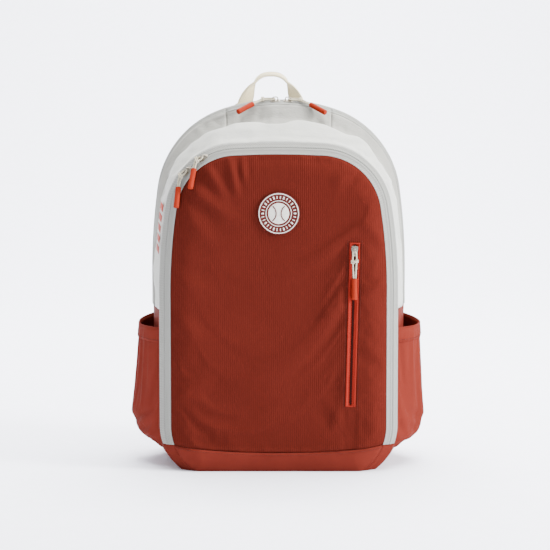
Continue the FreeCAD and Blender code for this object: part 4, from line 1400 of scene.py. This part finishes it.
def build_puller(pull):
    """The cord's loop through the bail, the hitch that ties it, and its moulded sleeve."""
    frame_of = turn(pull.degrees, pull.tilt)
    start = pull.at + frame_of @ Vector((0, -SLIDER_RISE, 0))
    through = frame_of @ Vector((1, 0, 0))
    apart = (through - pull.hang * through.dot(pull.hang)).normalized()
    elbow = start + pull.leave * pull.bend
    mouth = elbow + pull.hang * (pull.drop - pull.bend)
    legs = []
    for side in (-1, 1):
        legs.append([mouth + apart * (side * CORD_AT_SLEEVE), elbow + through * (side * CORD_APART),
                     start + pull.leave * PLATE_END + through * (side * CORD_APART),
                     start + pull.leave * 0.6 + through * (side * CORD_AT_BAIL)])
    route = legs[0] + legs[1][::-1]
    curve = bpy.data.curves.new("loop_" + pull.name, "CURVE")
    curve.dimensions = "3D"
    line = curve.splines.new("NURBS")
    line.points.add(len(route) - 1)
    for point, place in zip(line.points, route):
        point.co = (*(place * MM), 1)
    line.order_u = 3
    line.use_endpoint_u = True
    curve.bevel_depth = CORD_R * MM
    curve.bevel_resolution = 4
    curve.resolution_u = 14
    curve.use_fill_caps = True
    curve.materials.append(MAT["cord"])
    cord = bpy.data.objects.new("loop_" + pull.name, curve)
    bpy.context.scene.collection.objects.link(cord)
    body = "puller_" + pull.name
    dress(cord, body, "cream_cord", "cord_" + pull.name)

    away = through.cross(pull.leave if pull.bend < 13 else pull.hang).normalized()
    middle = elbow - pull.leave * 1.2
    turns = []
    for share in np.linspace(0, 1, 46):
        a = 2 * math.pi * HITCH_TURNS * share
        turns.append((middle + through * (HITCH_HALF * math.cos(a)) + away * (2.0 * math.sin(a))
                      + pull.leave * ((share - 0.5) * HITCH_LENGTH)) * MM)
    hitch = tube("hitch_" + pull.name, turns, 0.00095, "cord", 10)
    dress(hitch, body, "cream_cord")

    rings = [(-0.3, 2.1), (-0.2, 3.0), (0.15, 3.42), (0.8, 3.58), (3, 3.56), (8, 3.44), (14, 3.38),
             (20, 3.44), (24.5, 3.56), (26.2, 3.5), (26.9, 3.1), (27.1, 2.2)]
    points = [(mouth + pull.hang * along) * MM for along, _ in rings]
    sleeve = tube("grip_" + pull.name, points, [r * MM for _, r in rings], "sleeve", 24)
    dress(sleeve, body, "orange_sleeve", "sleeve_" + pull.name)


# ---- haul loop -----------------------------------------------------------------------------
HANDLE_X, HANDLE_FEET, HANDLE_RISE = -10.0, 73.0, 44.0
HANDLE_WIDTH, WEBBING = 21.0, 2.4


def loop_frame(t):
    """Centre, width and thickness directions of the loop's webbing at t, from -1 to 1."""
    sweep = math.radians(90 * (1 - abs(t) ** 1.3))
    side = 1 if t > 0 else -1
    flare = 9.0
    reach = (HANDLE_FEET / 2 - flare) * max(math.cos(sweep), 0.0) ** 0.7 + flare * abs(t) ** 3
    centre = Vector((HANDLE_X + side * reach, BACK.y - 4.0,
                     BACK.top + 3.2 + (HANDLE_RISE - 2.2) * math.sin(sweep)))
    flat = math.radians(82 * min(1.0, max(0.0, (abs(t) - 0.52) / 0.48)))
    along = Vector((math.sin(sweep), 0, -side * math.cos(sweep)))
    across = Vector((along.z, 0, -along.x))
    wide = Vector((0, 1, 0)) * math.cos(flat) + across * math.sin(flat)
    wide = (wide + Vector((0, 0, 0.24)) * math.cos(flat)).normalized()
    return centre, wide, wide.cross(along).normalized()


def build_handle():
    """Folded webbing, soft along its edges, with two rows of stitches and feet in the seam."""
    section = [(-1, 0), (-0.985, 0.55), (-0.93, 0.9), (-0.8, 1.0), (-0.4, 1.03), (0, 1.0), (0.4, 1.03),
               (0.8, 1.0), (0.93, 0.9), (0.985, 0.55)]
    ring = section + [(-a, -b) for a, b in section]
    places = list(np.linspace(-1, 1, 81))
    verts, uvs, length, last = [], [], 0.0, None
    for t in places:
        centre, wide, thin = loop_frame(t)
        length += (centre - last).length if last else 0.0
        last = centre
        sway = 0.5 * noise.noise(Vector((t * 3, 1, 4)))
        for a, b in ring:
            p = centre + wide * (a * HANDLE_WIDTH / 2) + thin * (b * WEBBING / 2 + sway * (1 - a * a))
            verts.append(p * MM)
            uvs.append((a * HANDLE_WIDTH / 2 * MM, length * MM))
    count = len(ring)
    faces = ring_faces(len(places), count)
    faces.append(tuple(range(count))[::-1])
    faces.append(tuple((len(places) - 1) * count + k for k in range(count)))
    web = finish_mesh("loop_web", verts, faces, "handle", uvs)
    web.data.flip_normals()
    parts = [web]
    for edge in (-0.82, 0.82):
        for face in (-1, 1):
            path, normals = [], []
            for t in np.linspace(-0.97, 0.97, 90):
                centre, wide, thin = loop_frame(t)
                path.append((centre + wide * (edge * HANDLE_WIDTH / 2) + thin * (face * 1.2)) * MM)
                normals.append(thin * face)
            parts.append(stitches("edge_row", path, normals, 0.003, "white_thread", 0.00022))
    dress(joined("haul_loop", parts), "handle", "cream_webbing", "haul_handle")
    for side in (-1, 1):
        centre, _, _ = loop_frame(side)
        box = rounded_box(0.0125, 0.0045, 0.0015)
        foot = slab("loop_foot", box, -0.0018, 0.0018, "handle", 0.0006)
        foot.data.transform(Matrix.Translation((centre + Vector((0, 0, -2.5))) * MM))
        dress(foot, "bag", "cream_webbing")


# ---- back and straps -----------------------------------------------------------------------
BACK_FACE = BACK.y + 3.0
PAD_DEPTH, STRAP_DEPTH, PAD_EDGE = 9.0, 12.0, 1.2
STRAP_Y = BACK_FACE + PAD_DEPTH + 1.0
STRAP_TOP, STRAP_LOW, STRAP_WIDTH, STRAP_X_TOP, STRAP_X_LOW = 432.0, 150.0, 62.0, 48.0, 104.0
WEB_WIDTH, ANCHOR_X, ANCHOR_Z = 25.0, 128.0, 46.0
LOCK_Y, LOCK_HEIGHT, LOCK_WIDTH, LOCK_DEPTH, LOCK_RAIL = STRAP_Y + 4.0, 30.0, 34.0, 4.0, 4.0


def pad(name, xz, y_low, y_high, material, channels=None, round_at=7.0, pitch=3.6):
    """A soft flat pad from its closed outline: full in the middle, thin at its edges."""
    points, faces, gap = filled(np.array(xz), pitch)
    t = np.clip(gap / round_at, 0, 1)
    rise = (1 - (1 - t) ** 2) * (y_high - y_low - 1.5)
    wave = noise_at(points, 26.0, 26.0, y_low)
    rise = rise + 0.45 * wave * t
    if channels is not None:
        rise = rise - channels(points) * t
    front = np.column_stack([points[:, 0], y_low + PAD_EDGE + rise, points[:, 1]]) * MM
    back = np.column_stack([points[:, 0], np.full(len(points), y_low), points[:, 1]]) * MM
    top = finish_mesh("top", front, faces, material, points * MM)
    under = finish_mesh("under", back, [f[::-1] for f in faces], material, points * MM)
    wall = np.array([[(x, y, z) for x, z in looped(xz)] for y in (y_low, y_low + PAD_EDGE)]) * MM
    side = grid("side", wall, material, True)
    return joined(name, [top, under, side])


def edging(name, xz, y, radius, material):
    """Binding along a closed outline at one depth."""
    path = [Vector((x, y, z)) * MM for x, z in xz]
    return tube(name, path, radius, material, 10, closed=True)


def box_outline(x0, x1, z0, z1, corner):
    """An (x, z) outline of a rectangle between its sides, with round corners."""
    return rounded_box((x1 - x0) / 2, (z1 - z0) / 2, corner, 8, ((x0 + x1) / 2, (z0 + z1) / 2))


def dense(xz, pitch=4.0):
    """A closed outline with points at even distances."""
    ring = looped(xz)
    return resampled(ring, int(run_lengths(ring)[-1] / pitch) + 1)[:-1]


def build_back():
    """Back panel with a corded edge, two long pads and a lumbar pad with air channels."""
    closed = dense(outline(BACK, 0.3, 3.0), 4.0)
    points, faces, gap = filled(closed, 5.0)
    wave = noise_at(points, 60.0, 60.0, 2.0)
    ease = np.clip(gap / 12.0, 0, 1)
    y = BACK_FACE - 1.6 * (1 - ease) ** 2 - 0.5 + 0.6 * wave * ease
    verts = np.column_stack([points[:, 0], y, points[:, 1]]) * MM
    sheet = thicken(finish_mesh("back_cloth", verts, faces, "white", points * MM), 0.0016, -1.0)
    cord = edging("back_cord", closed, BACK.y + 1.0, 0.0021, "tape")
    dress(joined("back_shell", [sheet, cord]), "bag", "off_white_nylon", "back_panel")

    def air(points):
        """Channels across a pad, one every 36 mm up the back."""
        rows = (points[:, 1] % 36.0) / 36.0
        return 2.6 * np.exp(-((rows - 0.5) / 0.11) ** 2)

    long_pad = dense(box_outline(12, 116, 168, 420, 9.0))
    for name, xz, node in (("back_cushion_right", long_pad, "back_pad_right"),
                           ("back_cushion_left", (long_pad * [-1, 1])[::-1], "back_pad_left"),
                           ("lumbar_cushion", dense(box_outline(-108, 108, 64, 156, 16.0)),
                            "lumbar_pad")):
        soft = pad("soft", xz, BACK_FACE, BACK_FACE + PAD_DEPTH, "mesh", air)
        whole = joined(name, [soft, edging("edge", xz, BACK_FACE + 0.9, 0.0014, "binding")])
        dress(whole, "bag", "spacer_mesh", node)
    xz = dense(box_outline(-82, 82, STRAP_TOP + 2.5, 450, 4.0), 3.0)
    yoke = pad("yoke", xz, BACK_FACE, STRAP_Y + 6.0, "white", round_at=6.0, pitch=3.0)
    rows = [yoke]
    for z in (STRAP_TOP + 6.0, 446.0):
        path = [Vector((x, STRAP_Y + 5.0, z)) * MM for x in np.linspace(-74, 74, 60)]
        rows.append(stitches("yoke_row", path, [Vector((0, 1, 0))] * 60, 0.0034, "white_thread"))
    dress(joined("yoke_cover", rows), "bag", "off_white_nylon", "strap_yoke")


def strap_outline():
    """The right shoulder pad's outline: the same S as the real cut, from cubic curves."""
    half = STRAP_WIDTH / 2
    middle = [(STRAP_X_TOP, STRAP_TOP), (STRAP_X_TOP + 8, 360), (STRAP_X_TOP + 30, 270),
              (STRAP_X_LOW - 8, 205), (STRAP_X_LOW, STRAP_LOW)]
    widths = [half, half, half, half * 0.9, half * 0.62]
    sides = []
    for sign in (1, -1):
        knots = np.array([(x + sign * w, z) for (x, z), w in zip(middle, widths)])
        slopes = np.gradient(knots, axis=0)
        run = []
        for i in range(len(knots) - 1):
            for t in np.linspace(0, 1, 16)[:-1]:
                run.append(cubic(knots[i], knots[i + 1], slopes[i], slopes[i + 1], t))
        run.append(knots[-1])
        sides.append(np.array(run))
    return dense(np.vstack([sides[0], sides[1][::-1]]), 4.0)


def build_straps():
    """Padded shoulder straps with bound edges, ladder locks, lower webbing and anchor tabs."""
    base = strap_outline()
    top = np.array([STRAP_X_LOW, STRAP_LOW - LOCK_HEIGHT - 6.5])
    foot = np.array([ANCHOR_X, ANCHOR_Z])
    for name, sign in (("right", 1), ("left", -1)):
        xz = base * [sign, 1]
        xz = xz if sign > 0 else xz[::-1]
        soft = pad("strap_soft_" + name, xz, STRAP_Y, STRAP_Y + STRAP_DEPTH, "mesh", round_at=9.0)
        edge = edging("edge", xz, STRAP_Y + 1.1, 0.0017, "binding")
        web = []
        for z in np.linspace(STRAP_TOP - 14, STRAP_LOW + 4, 30):
            x = np.mean(np.sort(base[np.argsort(np.abs(base[:, 1] - z))[:4], 0])[[0, -1]])
            web.append((x, z))
        rows = np.array([[(sign * (x + a), STRAP_Y + STRAP_DEPTH - 0.15, z) for x, z in web]
                         for a in (-WEB_WIDTH / 2, -4, 4, WEB_WIDTH / 2)]) * MM
        strip = thicken(grid("strip", rows, "strap", sign > 0), 0.0013, 0.0)
        whole = joined("shoulder_strap_" + name, [soft, edge, strip])
        dress(whole, "strap_" + name, "spacer_mesh", "strap_pad_" + name)

        x0 = STRAP_X_LOW - LOCK_WIDTH / 2
        top_z = STRAP_LOW - 1.0
        bars = []
        for low, high in ((-5.0, 0.0), (-13.5, -9.2), (-22.0, -17.7), (-LOCK_HEIGHT, -26.2)):
            shape = box_outline(x0 + 0.5, x0 + LOCK_WIDTH - 0.5, top_z + low, top_z + high, 1.2)
            bars.append(slab("bar", np.array(shape) * MM, (LOCK_Y + 0.6) * MM,
                             (LOCK_Y + LOCK_DEPTH - 0.6) * MM, "plastic", 0.0007))
        for x in (x0, x0 + LOCK_WIDTH - LOCK_RAIL):
            shape = box_outline(x, x + LOCK_RAIL, top_z - LOCK_HEIGHT, top_z, 1.8)
            bars.append(slab("rail", np.array(shape) * MM, LOCK_Y * MM,
                             (LOCK_Y + LOCK_DEPTH) * MM, "plastic", 0.0009))
        lock = joined("adjuster_" + name, bars)
        if sign < 0:
            lock.data.transform(Matrix.Scale(-1, 4, (1, 0, 0)))
            lock.data.flip_normals()
        dress(lock, "lock_" + name, "grey_plastic", "ladder_lock_" + name)

        d = (top - foot) / np.linalg.norm(top - foot)
        side = np.array([d[1], -d[0]])
        rows = []
        for a in (-1, -0.94, 0, 0.94, 1):
            row = []
            for t in np.linspace(0, 1, 24):
                p = foot + (top - foot) * t + side * (a * WEB_WIDTH / 2)
                row.append((sign * p[0], LOCK_Y + 2.0 + 0.25 * math.sin(t * 9), p[1]))
            rows.append(row)
        web = thicken(grid("lower_web_" + name, np.array(rows) * MM, "strap", sign > 0),
                      WEBBING * MM, 0.0)
        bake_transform(web)
        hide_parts("strap_web_" + name)

        corners = [(ANCHOR_X - 22, 24), (ANCHOR_X + 10, 24), (ANCHOR_X + 14, ANCHOR_Z - 2),
                   (ANCHOR_X - 12, ANCHOR_Z + 4)]
        xz = dense([(sign * x, z) for x, z in (corners if sign > 0 else corners[::-1])], 3.0)
        tab = pad("anchor_" + name, xz, BACK_FACE, LOCK_Y, "coated", round_at=8.0, pitch=3.0)
        dress(tab, "bag", "terracotta_coated", "strap_anchor_" + name)


# ---- printed bars on the left side ---------------------------------------------------------
def build_print():
    """A row of plain coral bars printed along the left of the front gusset."""
    ys = np.linspace(-67, -47, 4)
    bars = []
    for k in range(5):
        low = 286.0 + 13.5 * k
        rows = []
        for y in ys:
            flat = outline(station_at([TAPE_EDGE, CREST, VALLEY], y), SIDE_TOP, 1.0)
            left = flat[flat[:, 0] < -60]
            order = np.argsort(left[:, 1])
            zs = np.linspace(low, low + 8.5, 4) + (y + 56) * 0.25
            xs = np.interp(zs, left[order, 1], left[order, 0])
            rows.append(np.column_stack([xs - 0.9, np.full(4, y), zs]))
        bars.append(thicken(grid("bar", np.array(rows) * MM, "coral"), 0.0004, 0.0))
    dress(joined("print_bars", bars), "bag", "off_white_nylon")


# ---- floor, light and camera ---------------------------------------------------------------
def surface(name, colour, rough, scale, depth):
    """A plain material with a slight grain."""
    g = Graph(name, colour, rough)
    g.place = g.nodes["Texture Coordinate"].outputs["Object"]
    grain = g.noise(scale, 2.0)
    g.colour(g.tones(grain, colour, 0.985, 1.01, 0.3, 0.7))
    g.bump(grain, depth, 0.2)
    return g.material


def aimed(obj, place, aim):
    """Puts a lamp or camera at a place and points it at another."""
    obj.location = place
    obj.rotation_euler = (Vector(aim) - Vector(place)).to_track_quat("-Z", "Y").to_euler()


def build_stage():
    """A pale floor that rises into a backdrop, the world, three soft lights and the camera."""
    MAT["floor"] = surface("floor_paper", (0.895, 0.905, 0.985), 0.9, 60.0, 0.0001)
    profile = [(-9.0, 0.0), (-3.0, 0.0), (1.9, 0.0), (2.6, 0.08), (3.3, 0.40), (3.9, 1.0),
               (4.3, 2.0), (4.4, 4.0)]
    rows = np.array([[(x, y, z) for y, z in profile] for x in np.linspace(-8, 8, 3)])
    floor = grid("floor_sweep", rows, "floor")
    level = floor.modifiers.new("round", "SUBSURF")
    level.levels = level.render_levels = 3
    applied(floor)
    floor.data.polygons.foreach_set("use_smooth", [True] * len(floor.data.polygons))
    world = bpy.data.worlds.new("studio")
    world.use_nodes = True
    background = world.node_tree.nodes["Background"].inputs
    background["Color"].default_value = (0.955, 0.97, 1.0, 1)
    background["Strength"].default_value = 1.25
    bpy.context.scene.world = world
    for name, place, aim, size, power in (("key", (2.5, -0.95, 1.25), (0, 0, 0.25), 0.9, 260.0),
                                          ("top", (0.2, 0.2, 3.0), (0, 0.0, 0), 3.0, 310.0),
                                          ("back", (0.0, 1.7, 3.0), (0, 3.7, 0.6), 3.0, 360.0)):
        lamp = bpy.data.lights.new(name, "AREA")
        lamp.shape, lamp.size, lamp.energy = "DISK", size, power
        obj = bpy.data.objects.new("light_" + name, lamp)
        bpy.context.scene.collection.objects.link(obj)
        aimed(obj, place, aim)
    lens = bpy.data.cameras.new("camera")
    lens.lens, lens.sensor_width = 118.1, 36.0
    camera = bpy.data.objects.new("camera", lens)
    bpy.context.scene.collection.objects.link(camera)
    aimed(camera, (-0.0047, -2.394, 0.440), (-0.0047, 0.006, 0.2502))
    bpy.context.scene.camera = camera


# ---- build ---------------------------------------------------------------------------------
build_shell()
build_band()
build_front_panel()
build_front_zip()
build_main_zip()
build_pocket_zip()
build_pockets()
build_badge()
build_print()
for each in pulls():
    build_slider(each)
    build_puller(each)
build_handle()
build_back()
build_straps()
build_inside()
build_stage()
